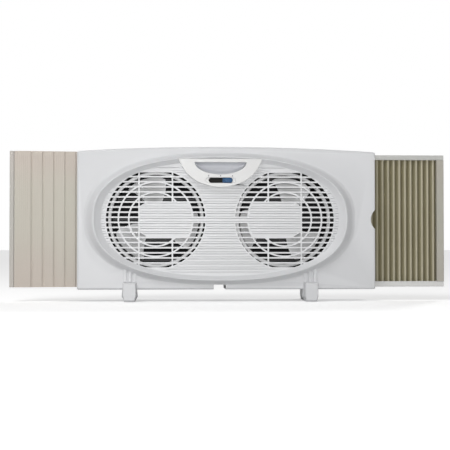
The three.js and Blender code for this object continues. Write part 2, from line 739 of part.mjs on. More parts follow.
for (const fan of fans) part(`rear_grille_${fan.name}`, rearGrille(fan), blackPlastic);

const gland = turned([
  [GLAND_BORE, CASE_REAR - 12], [GLAND_R, CASE_REAR - 12], [GLAND_R, CASE_REAR + TOUCH],
  [GLAND_R + 3.5, CASE_REAR + TOUCH], [GLAND_R + 3, CASE_REAR + 2.5], [GLAND_R - 0.5, CASE_REAR + 4.5],
  [GLAND_BORE, CASE_REAR + 4.5],
], GLAND_X, GLAND_Z, 16);
part('cord_gland', gland, blackPlastic);

// ---------------------------------------------------------------- tray and air rings
let tray = box(-TRAY_HALF, TRAY_HALF, FACE + SKIN + TOUCH, TRAY_FLOOR + SKIN, TRAY_BOTTOM, TRAY_TOP);
tray = tray.subtract(box(-TRAY_HALF + TRAY_T, TRAY_HALF - TRAY_T, FACE, TRAY_FLOOR,
  TRAY_BOTTOM + TRAY_T, TRAY_TOP - TRAY_T));
for (const fan of fans) {
  tray = tray.subtract(rod(fan.x, 0, RING_OUT + SLIDE, TRAY_FLOOR - 1, TRAY_FLOOR + SKIN + 1, 36));
}
part('duct_tray', tray, blackPlastic);

const ringBack = AIR_RING_FRONT + AIR_RING_DEPTH;
const flangeY = TRAY_FLOOR + SKIN + TOUCH;
for (const fan of fans) {
  const ring = turned([
    [RING_IN, AIR_RING_FRONT], [RING_OUT + AIR_RING_LIP, AIR_RING_FRONT],
    [RING_OUT, AIR_RING_FRONT + 4], [RING_OUT, flangeY], [RING_OUT + HOLE_MARGIN, flangeY],
    [RING_OUT + HOLE_MARGIN, flangeY + 2], [RING_OUT, flangeY + 2], [RING_OUT, ringBack],
    [RING_IN, ringBack],
  ], fan.x, 0, 36);
  part(`air_ring_${fan.name}`, ring, bladeWhite);
}

// ---------------------------------------------------------------- motors
const coreBack = CORE_FRONT + CORE_T;
for (const fan of fans) {
  const at = (u) => fan.x + fan.inward * u;
  const block = (u0, u1, y0, y1, z0, z1) =>
    box(Math.min(at(u0), at(u1)), Math.max(at(u0), at(u1)), y0, y1, z0, z1);
  const u0 = CORE_OFF - CORE_W / 2;
  const u1 = CORE_OFF + CORE_W / 2;
  const leg = CORE_LEG;
  const bore = coreBore;
  const windowStart = bore + CORE_NECK;
  let core = block(u0, u1, CORE_FRONT, coreBack, -CORE_H / 2, CORE_H / 2);
  core = core.subtract(rod(fan.x, 0, bore, CORE_FRONT - 1, coreBack + 1, 16));
  core = core.subtract(block(windowStart, u1 - leg, CORE_FRONT - 1, coreBack + 1,
    -CORE_H / 2 + CORE_ARM, CORE_H / 2 - CORE_ARM));
  for (const [u, z] of bossPlaces) {
    core = core.subtract(rod(at(u), z, SCREW_R + TOUCH, CORE_FRONT - 1, coreBack + 1, 8));
  }
  part(`motor_core_${fan.name}`, core, coreSteel);

  let coil = block(u1 - leg - COIL_T, u1 + COIL_T, CORE_FRONT - COIL_OVERHANG, coreBack + COIL_OVERHANG,
    -CORE_H / 2 + CORE_ARM + 1, CORE_H / 2 - CORE_ARM - 1);
  coil = coil.subtract(block(u1 - leg - TOUCH, u1 + TOUCH, CORE_FRONT - TOUCH, coreBack + TOUCH,
    -CORE_H, CORE_H));
  part(`motor_coil_${fan.name}`, coil, copper);

  // a bearing bridge on each face of the core
  for (const [side, faceY, out] of [['front', CORE_FRONT, -1], ['rear', coreBack, 1]]) {
    const foot = faceY + out * TOUCH;
    const inside = faceY + out * BRACKET_REACH;
    const outside = inside + out * BRACKET_T;
    const half = CORE_H / 2 - 1;
    const bridge = alongX([
      [foot, -half], [outside, -half], [outside, half], [foot, half],
      [foot, half - 5], [inside, half - 5], [inside, -half + 5], [foot, -half + 5],
    ], fan.x - BRACKET_W / 2, fan.x + BRACKET_W / 2);
    const boss = rod(fan.x, 0, SHAFT_R + 3, Math.min(inside, outside) - (out > 0 ? 1 : 0),
      Math.max(inside, outside) + (out > 0 ? 0 : 1), 12);
    const hole = rod(fan.x, 0, SHAFT_R + TOUCH, faceY - 20, faceY + 20, 12);
    part(`motor_bracket_${side}_${fan.name}`, bridge.add(boss).subtract(hole), zinc);
  }

  bossPlaces.forEach(([u, z], i) => {
    const head = turned([[0, coreBack + TOUCH], [3.4, coreBack + TOUCH], [3, coreBack + 2.2], [0, coreBack + 2.6]], at(u), z, 8);
    const shank = rod(at(u), z, SCREW_R, CORE_FRONT - 7, coreBack + 1, 8);
    part(`motor_screw_${fan.name}_${i + 1}`, head.add(shank), steel);
  });
}

// ---------------------------------------------------------------- impellers
const hubBack = BLADE_FRONT + HUB_DEPTH;
const shaftEnd = hubBack + 5;

// one blade: a twisted sheet from the hub to the tip, wider at the tip
function blade(fan, turn) {
  const spans = 4;
  const chords = 6;
  const inner = HUB_R - HUB_WALL / 2;
  const position = [];
  const index = [];
  const lines = [];
  for (const side of [-1, 1]) {
    for (let i = 0; i <= spans; i++) {
      const s = i / spans;
      const r = inner + (BLADE_R - inner) * s;
      const wide = 46 + 24 * Math.sin((s * Math.PI) / 2);
      const sweep = 10 * s * s;
      const depth = (HUB_DEPTH - 6) + (BLADE_DEPTH - HUB_DEPTH + 6) * s;
      const line = [];
      for (let j = 0; j <= chords; j++) {
        const c = j / chords - 0.5;
        // the corners of the tip are rounded off
        const trim = Math.max(0, Math.abs(c) - 0.36) * 60 * s * s;
        const angle = (turn + wide * c + sweep) * deg;
        const y = BLADE_FRONT + depth / 2 + 2 + depth * (0.42 * Math.sin(c * Math.PI)) + (side * BLADE_T) / 2;
        line.push(position.length / 3);
        position.push(fan.x + (r - trim) * Math.cos(angle), y, (r - trim) * Math.sin(angle));
      }
      lines.push(line);
    }
  }
  const quad = (a, b, c, d) => index.push(a, b, c, a, c, d);
  const back = spans + 1;
  for (let i = 0; i < spans; i++) {
    for (let j = 0; j < chords; j++) {
      quad(lines[i][j], lines[i][j + 1], lines[i + 1][j + 1], lines[i + 1][j]);
      quad(lines[back + i][j], lines[back + i + 1][j], lines[back + i + 1][j + 1], lines[back + i][j + 1]);
    }
    quad(lines[i][0], lines[i + 1][0], lines[back + i + 1][0], lines[back + i][0]);
    quad(lines[i + 1][chords], lines[i][chords], lines[back + i][chords], lines[back + i + 1][chords]);
  }
  for (let j = 0; j < chords; j++) {
    quad(lines[0][j + 1], lines[0][j], lines[back][j], lines[back][j + 1]);
    quad(lines[spans][j], lines[spans][j + 1], lines[back + spans][j + 1], lines[back + spans][j]);
  }
  const g = new THREE.BufferGeometry();
  g.setAttribute('position', new THREE.Float32BufferAttribute(position, 3));
  g.setIndex(index);
  return solid(g);
}

for (const fan of fans) {
  const bore = SHAFT_R + TOUCH;
  const hub = turned([
    [bore, BLADE_FRONT + 2], [6.5, BLADE_FRONT + 2], [6.5, hubBack - HUB_WALL],
    [HUB_R - HUB_WALL, hubBack - HUB_WALL], [HUB_R - HUB_WALL, BLADE_FRONT], [HUB_R, BLADE_FRONT],
    [HUB_R, hubBack], [bore, hubBack],
  ], fan.x, 0, 24);
  const bladeTrim = rod(fan.x, 0, HUB_R - HUB_WALL / 2, BLADE_FRONT - 9, hubBack + 20, 24);
  let wheel = hub;
  for (let k = 0; k < BLADE_COUNT; k++) {
    wheel = wheel.add(blade(fan, fan.phase + (360 * k) / BLADE_COUNT).subtract(bladeTrim));
  }
  part(`impeller_${fan.name}`, wheel, bladeWhite);
  const shaftFront = CORE_FRONT - BRACKET_REACH - BRACKET_T - 2;
  part(`motor_shaft_${fan.name}`, rod(fan.x, 0, SHAFT_R, shaftFront, shaftEnd, 12), steel);
  const rotor = turned([
    [bore, CORE_FRONT + 0.5], [ROTOR_R, CORE_FRONT + 0.5], [ROTOR_R, coreBack - 0.5], [bore, coreBack - 0.5],
  ], fan.x, 0, 16);
  part(`motor_rotor_${fan.name}`, rotor, coreSteel);
  const nut = turned([
    [bore, hubBack + TOUCH], [6, hubBack + TOUCH], [5.4, hubBack + 4], [bore, hubBack + 4],
  ], fan.x, 0, 12);
  part(`hub_clip_${fan.name}`, nut, blackPlastic);
}

// ---------------------------------------------------------------- motor leads
// each runs down the closed middle and along the bridge to its coil
for (const fan of fans) {
  const s = -fan.inward; // -1 towards the left fan
  const y = GRILLE_BACK + 2.6;
  const coilX = Math.abs(fan.x) - (CORE_OFF + CORE_W / 2 + COIL_T) - TOUCH;
  const path = new THREE.CurvePath();
  const route = [
    new THREE.Vector3(s * 14, y, switchLow - TOUCH),
    new THREE.Vector3(s * 14, y, 30),
    new THREE.Vector3(s * 16, y, 8),
    new THREE.Vector3(s * 24, y, 0),
    new THREE.Vector3(s * (coilX - 12), y, 0),
    new THREE.Vector3(s * coilX, y + 1, 0),
  ];
  path.add(new THREE.CatmullRomCurve3(route, false, 'centripetal'));
  const section = new THREE.Shape();
  for (let i = 0; i < 6; i++) {
    const t = (i + 0.5) * 60 * deg;
    if (i === 0) section.moveTo(1.8 * Math.cos(t), 1.8 * Math.sin(t));
    else section.lineTo(1.8 * Math.cos(t), 1.8 * Math.sin(t));
  }
  const g = new THREE.ExtrudeGeometry(section, {
    steps: 20, extrudePath: path.curves[0], bevelEnabled: false,
  });
  part(`motor_lead_${fan.name}`, solid(g), wireGrey);
}

// ---------------------------------------------------------------- left panel
const lastEdge = -(LEFT + SLAT_STANDOFF);
const slatEdge = (i) => lastEdge - (SLATS - i) * SLAT_PITCH; // right edge of slat i
const firstLeft = slatEdge(1) - SLAT_FIRST_W;
const hook = SLAT_STEP - SLAT_T - TOUCH;

for (let i = 1; i <= SLATS; i++) {
  const x0 = i === 1 ? firstLeft + TOUCH : slatEdge(i - 1) - SLAT_OVERLAP;
  const x1 = slatEdge(i);
  const y0 = SLAT_FRONT + SLAT_STEP * (i - 1);
  const y1 = y0 + SLAT_T;
  const z0 = SLAT_BOTTOM;
  const z1 = SLAT_TOP;
  // each slat's inner edge hooks back over the next one, whose outer edge hooks forward
  const outline = [[x0, y0], [x1, y0], [x1, y1 + hook], [x1 - 1.2, y1 + hook], [x1 - 1.2, y1]];
  outline.push([x0, y1]);
  part(`slat_${i}`, upright(outline, z0, z1), slatBeige);
}
const postY = SLAT_FRONT - 0.5;
part('left_end_post', box(firstLeft - LEFT_POST_W, firstLeft, postY, postY + LEFT_POST_D,
  SLAT_BOTTOM, SLAT_TOP), slatBeige);

// fixed strip at the pocket's mouth, behind the last slat
const guideY = SLAT_FRONT + SLAT_STEP * SLATS;
part('slat_guide', box(lastEdge - SLAT_OVERLAP, -LEFT + SLAT_FIRST_W + 3, guideY, guideY + SLAT_T,
  SLAT_BOTTOM, SLAT_TOP - 0.1), slatBeige);

// ---------------------------------------------------------------- right panel
const rightPostX = RIGHT + RIGHT_REACH;
const rightPostY = RAIL_FRONT - 1.5;
part('right_end_post', box(rightPostX, rightPostX + RIGHT_POST_W, rightPostY, rightPostY + RIGHT_POST_D,
  RAIL_BOTTOM, RAIL_TOP), postGrey);
const railX0 = RIGHT - RAIL_HELD;
const railX1 = rightPostX - TOUCH;
const y0 = RAIL_FRONT;
const y1 = RAIL_FRONT + RAIL_D;
const channel = (outer, open, t) => [
  [y0, outer], [y1, outer], [y1, open], [y1 - RAIL_T, open],
  [y1 - RAIL_T, outer - t], [y0 + RAIL_T, outer - t], [y0 + RAIL_T, open], [y0, open],
];
part('right_rail_top', alongX(channel(RAIL_TOP, RAIL_TOP - RAIL_H, RAIL_WEB), railX0, railX1), railGrey);
part('right_rail_bottom', alongX(channel(RAIL_BOTTOM, RAIL_BOTTOM + RAIL_H + RAIL_EXTRA, -RAIL_WEB), railX0, railX1),
  railGrey);

// tracks in the casing, closed towards its top and floor
const trackX0 = railX0 - RIGHT_TRAVEL - 2;
const trackX1 = RIGHT - 4;
const track = (outer, open, t) => {
  const a = y0 - SLIDE - TRACK_T;
  const b = y1 + SLIDE + TRACK_T;
  return [
    [a, outer], [b, outer], [b, open], [b - TRACK_T, open],
    [b - TRACK_T, outer - t], [a + TRACK_T, outer - t], [a + TRACK_T, open], [a, open],
  ];
};
part('rail_track_top', alongX(track(TRACK_TOP, TRAY_TOP + SLIDE, TRACK_T), trackX0, trackX1), blackPlastic);
part('rail_track_bottom', alongX(track(TRACK_BOTTOM, TRAY_BOTTOM - SLIDE, -TRACK_T), trackX0, trackX1),
  blackPlastic);

// pleated curtain between the anchor in the casing and the end post
const curtainX0 = RIGHT - CURTAIN_HELD;
const curtainX1 = rightPostX - TOUCH;
const pleatY0 = y0 + RAIL_T + SLIDE;
const pleatY1 = y1 - RAIL_T - SLIDE;
const fold = [];
const back = [];
for (let i = 0; i <= 2 * PLEATS; i++) {
  const x = curtainX0 + ((curtainX1 - curtainX0) * i) / (2 * PLEATS);
  const y = i % 2 ? pleatY0 : pleatY1 - PLEAT_T * 1.3;
  fold.push([x, y]);
  back.push([x, y + PLEAT_T * 1.3]);
}
part('pleated_curtain', upright([...fold, ...back.reverse()], RAIL_BOTTOM + RAIL_WEB + SLIDE,
  RAIL_TOP - RAIL_WEB - SLIDE), curtainCream);
part('curtain_anchor', box(curtainX0 - TOUCH - ANCHOR_W, curtainX0 - TOUCH, pleatY0, 0,
  RAIL_BOTTOM + RAIL_H + RAIL_EXTRA + 2, RAIL_TOP - RAIL_H - 2), blackPlastic);

// ---------------------------------------------------------------- feet
const sole = BOTTOM - FOOT_H;
function foot(x) {
  const section = (top, half, flank, bottom, low) => [
    [x - bottom, low], [x + bottom, low], [x + flank, (low + BOTTOM) / 2 - 1],
    [x + half, top], [x - half, top], [x - flank, (low + BOTTOM) / 2 - 1],
  ];
  const under = BOTTOM - TOUCH;
  const hookTop = BOTTOM + FOOT_HOOK;
  const nose = loft([
    [section(hookTop - 3, FOOT_HALF - 1.6, FOOT_HALF - 1.2, FOOT_SOLE - 1.2, sole + 4), FACE - FOOT_NOSE],
    [section(hookTop, FOOT_HALF, FOOT_HALF, FOOT_SOLE, sole + 0.8), FACE - FOOT_NOSE + 3],
    [section(hookTop, FOOT_HALF, FOOT_HALF + 0.4, FOOT_SOLE, sole), FACE - 8],
    [section(hookTop, FOOT_HALF, FOOT_FLANK, FOOT_SOLE, sole), FACE - TOUCH],
  ]);
  const runner = loft([
    [section(under, FOOT_HALF, FOOT_FLANK, FOOT_SOLE, sole), FACE - 1],
    [section(under, FOOT_HALF, FOOT_FLANK, FOOT_SOLE, sole), CASE_REAR + 1],
  ]);
  const heel = loft([
    [section(hookTop, FOOT_HALF, FOOT_FLANK, FOOT_SOLE, sole), CASE_REAR + TOUCH],
    [section(hookTop - 3, FOOT_HALF - 1, FOOT_FLANK - 2, FOOT_SOLE, sole), CASE_REAR + FOOT_HEEL],
  ]);
  return join([nose, runner, heel]);
}
part('foot_left', foot(-FOOT_X), shellWhite);
part('foot_right', foot(FOOT_X), shellWhite);

// ---------------------------------------------------------------- casing screws
postPlaces.forEach(([x, z], i) => {
  const head = turned([
    [0, CASE_REAR + TOUCH], [3.8, CASE_REAR + TOUCH], [3.4, CASE_REAR + 2], [0, CASE_REAR + 2.5],
  ], x, z, 8);
  const shank = rod(x, z, SCREW_R, CASE_REAR - 16, CASE_REAR + 1, 8);
  part(`shell_screw_${i + 1}`, head.add(shank), steel);
});

// ---------------------------------------------------------------- placing
// the origin is the middle of the base
const xMin = firstLeft - LEFT_POST_W;
const xMax = rightPostX + RIGHT_POST_W;
const yMin = FACE - FOOT_NOSE;
const yMax = CASE_REAR + FOOT_HEEL;
const whole = new THREE.Group();
group.position.set(-(xMin + xMax) / 2, -(yMin + yMax) / 2, -sole);
whole.add(group);

export default whole;
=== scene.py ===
import math
import random

import bmesh
import bpy
from mathutils import Matrix, Vector
from mathutils.kdtree import KDTree


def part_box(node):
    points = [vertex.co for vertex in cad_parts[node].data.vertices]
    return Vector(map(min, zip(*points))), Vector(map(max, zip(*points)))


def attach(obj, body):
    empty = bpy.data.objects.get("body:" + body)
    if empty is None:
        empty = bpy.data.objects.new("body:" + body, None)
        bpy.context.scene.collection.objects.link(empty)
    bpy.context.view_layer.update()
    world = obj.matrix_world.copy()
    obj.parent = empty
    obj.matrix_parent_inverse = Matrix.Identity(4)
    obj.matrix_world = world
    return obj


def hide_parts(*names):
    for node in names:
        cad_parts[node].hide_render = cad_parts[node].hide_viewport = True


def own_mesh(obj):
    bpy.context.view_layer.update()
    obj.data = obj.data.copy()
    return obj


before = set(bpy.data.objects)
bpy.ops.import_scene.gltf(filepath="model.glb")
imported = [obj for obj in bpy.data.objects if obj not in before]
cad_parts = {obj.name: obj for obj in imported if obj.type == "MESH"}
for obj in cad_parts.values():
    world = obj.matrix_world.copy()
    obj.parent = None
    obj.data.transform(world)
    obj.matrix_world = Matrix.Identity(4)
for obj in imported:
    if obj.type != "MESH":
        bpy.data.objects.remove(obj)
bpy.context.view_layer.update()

# ---- Studio ----------------------------------------------------------------------------------
# A pale seamless floor under a white surround. A wide soft lamp hangs high on the left, a small
# one beside the camera gives most of the light on the front, and a weak one shines from behind.
# The camera stands a little left of the fan, low down, as the product photograph was taken.
scene = bpy.context.scene
scene.view_settings.view_transform = "Standard"

CAMERA_PLACE = (-0.1147, -2.0337, 0.1088)
CAMERA_YAW = 3.0
CAMERA_PITCH = 1.105
CAMERA_LENS = 82.9
AIM = Vector((0.0, -0.04, 0.16))
HIGH_PLACE = Vector((-0.91, -1.24, 2.03))
HIGH_WATTS = 23.5
HIGH_SIZE = 1.2
FRONT_PLACE = Vector((-0.13, -2.12, 0.15))
FRONT_WATTS = 51.0
FRONT_RADIUS = 0.03
BACK_FROM = (0.55, 1.0, 0.9)
BACK_STRENGTH = 0.8
FILL = 0.27
MIRRORED_SURROUND = 0.55
FLOOR_SIZE = 40
FLOOR_PALE, FLOOR_GLOW = (0.77, 0.79), 0.42

bpy.ops.object.select_all(action="DESELECT")
bpy.ops.object.camera_add(
    location=CAMERA_PLACE,
    rotation=(math.radians(90 + CAMERA_PITCH), 0, math.radians(-CAMERA_YAW)))
camera = bpy.context.object
camera.name = "studio_camera"
camera.data.lens = CAMERA_LENS
camera.data.sensor_width = 36.0
camera.data.clip_end = 100.0
scene.camera = camera

bpy.ops.object.light_add(
    type="AREA", location=HIGH_PLACE,
    rotation=(HIGH_PLACE - AIM).to_track_quat("Z", "Y").to_euler())
high_lamp = bpy.context.object
high_lamp.name = "high_lamp"
high_lamp.data.energy = HIGH_WATTS
high_lamp.data.size = HIGH_SIZE

bpy.ops.object.light_add(type="POINT", location=FRONT_PLACE)
front_lamp = bpy.context.object
front_lamp.name = "front_lamp"
front_lamp.data.energy = FRONT_WATTS
front_lamp.data.shadow_soft_size = FRONT_RADIUS

bpy.ops.object.light_add(
    type="SUN", rotation=Vector(BACK_FROM).to_track_quat("Z", "Y").to_euler())
back_lamp = bpy.context.object
back_lamp.name = "back_lamp"
back_lamp.data.energy = BACK_STRENGTH
back_lamp.data.angle = math.radians(12.0)


class Signal:
    """A node's output that takes part in sums; node() adds any other node beside it."""

    def __init__(self, tree, socket):
        self.tree = tree
        self.socket = socket

    def node(self, kind, settings=None, inputs=None, out=0):
        made = self.tree.nodes.new(kind)
        for key_, value in (settings or {}).items():
            if key_ == "stops":
                ramp = made.color_ramp.elements
                while len(ramp) < len(value):
                    ramp.new(0.5)
                for stop, (position, colour) in zip(ramp, value):
                    stop.position = position
                    stop.color = (*colour, 1.0)
            else:
                setattr(made, key_, value)
        for key_, value in (inputs or {}).items():
            if isinstance(value, Signal):
                self.tree.links.new(value.socket, made.inputs[key_])
            else:
                made.inputs[key_].default_value = value
        return Signal(self.tree, made.outputs[out])

    def maths(self, operation, first, second):
        return self.node("ShaderNodeMath", {"operation": operation}, {0: first, 1: second})

    def __add__(self, other):
        return self.maths("ADD", self, other)

    __radd__ = __add__

    def __mul__(self, other):
        return self.maths("MULTIPLY", self, other)

    __rmul__ = __mul__

    def __sub__(self, other):
        return self.maths("SUBTRACT", self, other)

    def __rsub__(self, other):
        return self.maths("SUBTRACT", other, self)

    def clamped(self):
        return self.node("ShaderNodeClamp", None, {0: self})

    def between(self, low, high):
        """A colour that runs from low to high as this signal runs from 0 to 1."""
        return self.node(
            "ShaderNodeMix", {"data_type": "RGBA"},
            {0: self, 6: (*low, 1.0), 7: (*high, 1.0)}, out=2)


def blank(name):
    """A new material: its shader, its node tree and the place on the object as a signal."""
    material = bpy.data.materials.new(name)
    material.use_nodes = True
    tree = material.node_tree
    place = Signal(tree, tree.nodes.new("ShaderNodeTexCoord").outputs["Object"])
    return material, tree.nodes["Principled BSDF"], place


world = bpy.data.worlds.new("surround")
scene.world = world
world.use_nodes = True
surround = world.node_tree.nodes["Background"]
ray = world.node_tree.nodes.new("ShaderNodeLightPath")
seen = Signal(world.node_tree, ray.outputs["Is Camera Ray"])
mirrored = Signal(world.node_tree, ray.outputs["Is Glossy Ray"])
through = Signal(world.node_tree, ray.outputs["Is Transmission Ray"])
level = (seen + mirrored * MIRRORED_SURROUND + through).clamped() * (1.0 - FILL) + FILL
world.node_tree.links.new(level.socket, surround.inputs["Strength"])
surround.inputs["Color"].default_value = (1.0, 1.0, 1.0, 1.0)

bpy.ops.mesh.primitive_plane_add(size=FLOOR_SIZE, location=(0, 0, 0))
floor = bpy.context.object
floor.name = "studio_floor"
floor_paint, floor_shader, spot = blank("seamless_floor")
speckle = spot.node("ShaderNodeTexNoise", None, {"Vector": spot, "Scale": 6.0, "Detail": 3.0})
floor_shader.inputs["Roughness"].default_value = 0.9
floor_shader.inputs["Specular IOR Level"].default_value = 0.1
floor_colour = speckle.between(*[[grey] * 3 for grey in FLOOR_PALE])
floor_paint.node_tree.links.new(floor_colour.socket, floor_shader.inputs["Base Color"])
looking = spot.node("ShaderNodeLightPath")
floor_shader.inputs["Emission Color"].default_value = (1.0, 1.0, 1.0, 1.0)
floor_glow = looking.between([0.0] * 3, [FLOOR_GLOW] * 3)
floor_paint.node_tree.links.new(floor_glow.socket, floor_shader.inputs["Emission Color"])
floor_shader.inputs["Emission Strength"].default_value = 1.0
floor.data.materials.append(floor_paint)

# ---- Rear shell ------------------------------------------------------------------------------
# The back half of the casing: moulded light grey plastic, 2 mm thick, with a low arched top edge.
# Its square edges are rounded, and it meets the front half along one parting line.
# Sizes are millimetres from the middle between the two fan axes, on the parting plane.
ORIGIN = Vector((-0.01895, 0.002, 0.15835))
TO_FRAME = Matrix.Translation(ORIGIN) @ Matrix.Scale(0.001, 4)
CASE_LEFT, CASE_RIGHT = -275.5, 302.0
CASE_BOTTOM, CASE_TOP = -135.35, 131.25
CASE_ARCH = 9.0
CASE_FACE, CASE_REAR = -38.0, 52.0
CORNER = 3.5
FAN_X = 124.5
PORT_RADIUS = 97.3
CORD_NOTCH = ((-12.65, -43, -140), (10.45, 57, -126.25))
GLAND_X, GLAND_Z = -251.5, -107.35
SHELL_GREY = (0.655, 0.66, 0.672)
MOULD_GRAIN = 2400.0


def outline(inset, arch_steps=64, side_steps=48):
    """The casing's outline, drawn in by an inset, with small round corners and an arched top."""
    left, right = CASE_LEFT + inset, CASE_RIGHT - inset
    bottom = CASE_BOTTOM + inset
    r = max(CORNER - inset, 0.4)
    half, middle = (CASE_RIGHT - CASE_LEFT) / 2, (CASE_RIGHT + CASE_LEFT) / 2

    def top(x):
        return CASE_TOP - inset + CASE_ARCH * (1 - ((x - middle) / half) ** 2)

    points = []

    def corner(x, z, start):
        for i in range(6):
            t = math.radians(start + 18 * i)
            points.append((x + r * math.cos(t), z + r * math.sin(t)))

    def edge(x0, z0, x1, z1, steps):
        for i in range(1, steps):
            s = i / steps
            points.append((x0 + (x1 - x0) * s, z0 + (z1 - z0) * s))

    corner(left + r, bottom + r, 180)
    edge(left + r, bottom, right - r, bottom, arch_steps)
    corner(right - r, bottom + r, 270)
    edge(right, bottom + r, right, top(right) - r, side_steps)
    corner(right - r, top(right) - r, 0)
    for i in range(1, arch_steps):
        x = right - r - (right - left - 2 * r) * i / arch_steps
        points.append((x, top(x)))
    corner(left + r, top(left) - r, 90)
    edge(left, top(left) - r, left, bottom + r, side_steps)
    return points


def alone(piece=None):
    """Nothing selected, or only this piece."""
    bpy.ops.object.select_all(action="DESELECT")
    if piece:
        piece.select_set(True)
        bpy.context.view_layer.objects.active = piece


def edit(piece, *steps):
    """Runs edit mode operators on the whole of a piece."""
    alone(piece)
    bpy.ops.object.mode_set(mode="EDIT")
    bpy.ops.mesh.select_all(action="SELECT")
    for step in steps:
        step()
    bpy.ops.object.mode_set(mode="OBJECT")


def turn_out():
    bpy.ops.mesh.select_all(action="SELECT")
    bpy.ops.mesh.remove_doubles(threshold=0.002)
    bpy.ops.mesh.normals_make_consistent(inside=False)


def drawn(name, points, fill=True):
    """A circle primitive whose points are laid on an outline."""
    alone()
    bpy.ops.mesh.primitive_circle_add(
        vertices=len(points), radius=1, fill_type="NGON" if fill else "NOTHING")
    piece = bpy.context.object
    piece.name = name
    for vertex, point in zip(piece.data.vertices, points):
        vertex.co = point
    return piece


def skin(name, loops, closed):
    """A wall extruded through loops of equal length; its ends are filled or meet each other."""
    piece = drawn(name, loops[0], fill=False)
    alone(piece)
    bpy.ops.object.mode_set(mode="EDIT")
    bpy.ops.mesh.select_all(action="SELECT")
    if not closed:
        bpy.ops.mesh.edge_face_add()
    for before, after in zip(loops, loops[1:]):
        bpy.ops.mesh.extrude_region_move()
        nearest = KDTree(len(before))
        for index, point in enumerate(before):
            nearest.insert(point, index)
        nearest.balance()
        mesh = bmesh.from_edit_mesh(piece.data)
        for vertex in mesh.verts:
            if vertex.select:
                vertex.co = after[nearest.find(vertex.co)[1]]
        bmesh.update_edit_mesh(piece.data)
    if closed:
        mesh = bmesh.from_edit_mesh(piece.data)
        mesh.select_mode = {"EDGE"}
        for item in mesh.edges:
            item.select_set(item.is_boundary)
        bmesh.update_edit_mesh(piece.data)
        bpy.ops.mesh.bridge_edge_loops()
    turn_out()
    bpy.ops.object.mode_set(mode="OBJECT")
    return piece


def pushed(name, points, axis, start, end):
    """An outline pushed along X, Y or Z. Its points are the two other coordinates in order."""
    spread = {"X": lambda a, b: (start, a, b), "Y": lambda a, b: (a, start, b),
              "Z": lambda a, b: (a, b, start)}[axis]
    piece = drawn(name, [spread(a, b) for a, b in points])
    move = [0.0, 0.0, 0.0]
    move["XYZ".index(axis)] = end - start
    edit(piece,
         lambda: bpy.ops.mesh.extrude_region_move(TRANSFORM_OT_translate={"value": move}),
         turn_out)
    return piece


def block(name, low, high):
    """A cube primitive between two corners."""
    alone()
    bpy.ops.mesh.primitive_cube_add(
        size=1, location=[(a + b) / 2 for a, b in zip(low, high)])
    piece = bpy.context.object
    piece.name = name
    piece.scale = [b - a for a, b in zip(low, high)]
    bpy.ops.object.transform_apply(location=True, rotation=True, scale=True)
    return piece


def spun(name, profile, x, z, steps):
    """A closed profile of (radius, depth) spun about the fan axis through x and z."""
    piece = drawn(name, [(x + r, y, z) for r, y in profile], fill=False)
    edit(piece,
         lambda: bpy.ops.mesh.spin(
             steps=steps, angle=2 * math.pi, center=(x, 0, z), axis=(0, 1, 0)),
         turn_out)
    return piece


def joined(name, pieces):
    """Several pieces as one, each keeping its own closed surface."""
    alone(pieces[0])
    for piece in pieces:
        piece.select_set(True)
    if len(pieces) > 1:
        bpy.ops.object.join()
    made = bpy.context.object
    made.name = name
    return made


def worked(piece, kind, **settings):
    """A modifier, set and applied."""
    alone(piece)
    modifier = piece.modifiers.new("work", kind)
    for key_, value in settings.items():
        setattr(modifier, key_, value)
    bpy.ops.object.modifier_apply(modifier=modifier.name)
    return piece


def carve(piece, tool, how="DIFFERENCE"):
    """Cuts a piece with a tool, or adds the tool to it; the tool is used up."""
    worked(piece, "BOOLEAN", operation=how, object=tool, solver="MANIFOLD")
    bpy.data.objects.remove(tool)
    return piece


def soften(piece, width=0.4, segments=2, angle=30.0):
    """Breaks the sharp edges, then shades the piece smooth between them."""
    edit(piece, lambda: bpy.ops.mesh.dissolve_limited(angle_limit=math.radians(0.2)))
    if width:
        worked(piece, "BEVEL", width=width, segments=segments, limit_method="ANGLE",
               angle_limit=math.radians(angle), use_clamp_overlap=True)
    alone(piece)
    bpy.ops.object.shade_smooth_by_angle(angle=math.radians(38))
    worked(piece, "WEIGHTED_NORMAL", keep_sharp=True, weight=60)
    return piece


def fit(piece, name, material, body, slot, *nodes):
    """Gives a finished piece its name, place, material and body, in place of its CAD nodes."""
    piece.data.transform(TO_FRAME)
    piece.name = name
    piece.data.name = name
    piece.data.materials.clear()
    piece.data.materials.append(material)
    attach(piece, body)
    if nodes:
        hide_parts(*nodes)
    return piece


def copied(node):
    """The CAD node's shape as a new piece, in millimetres, its loose triangles merged."""
    piece = bpy.data.objects.new("copy_" + node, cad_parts[node].data.copy())
    scene.collection.objects.link(piece)
    piece.data.transform(TO_FRAME.inverted())
    edit(piece, turn_out, lambda: bpy.ops.mesh.dissolve_limited(angle_limit=math.radians(0.5)))
    return piece


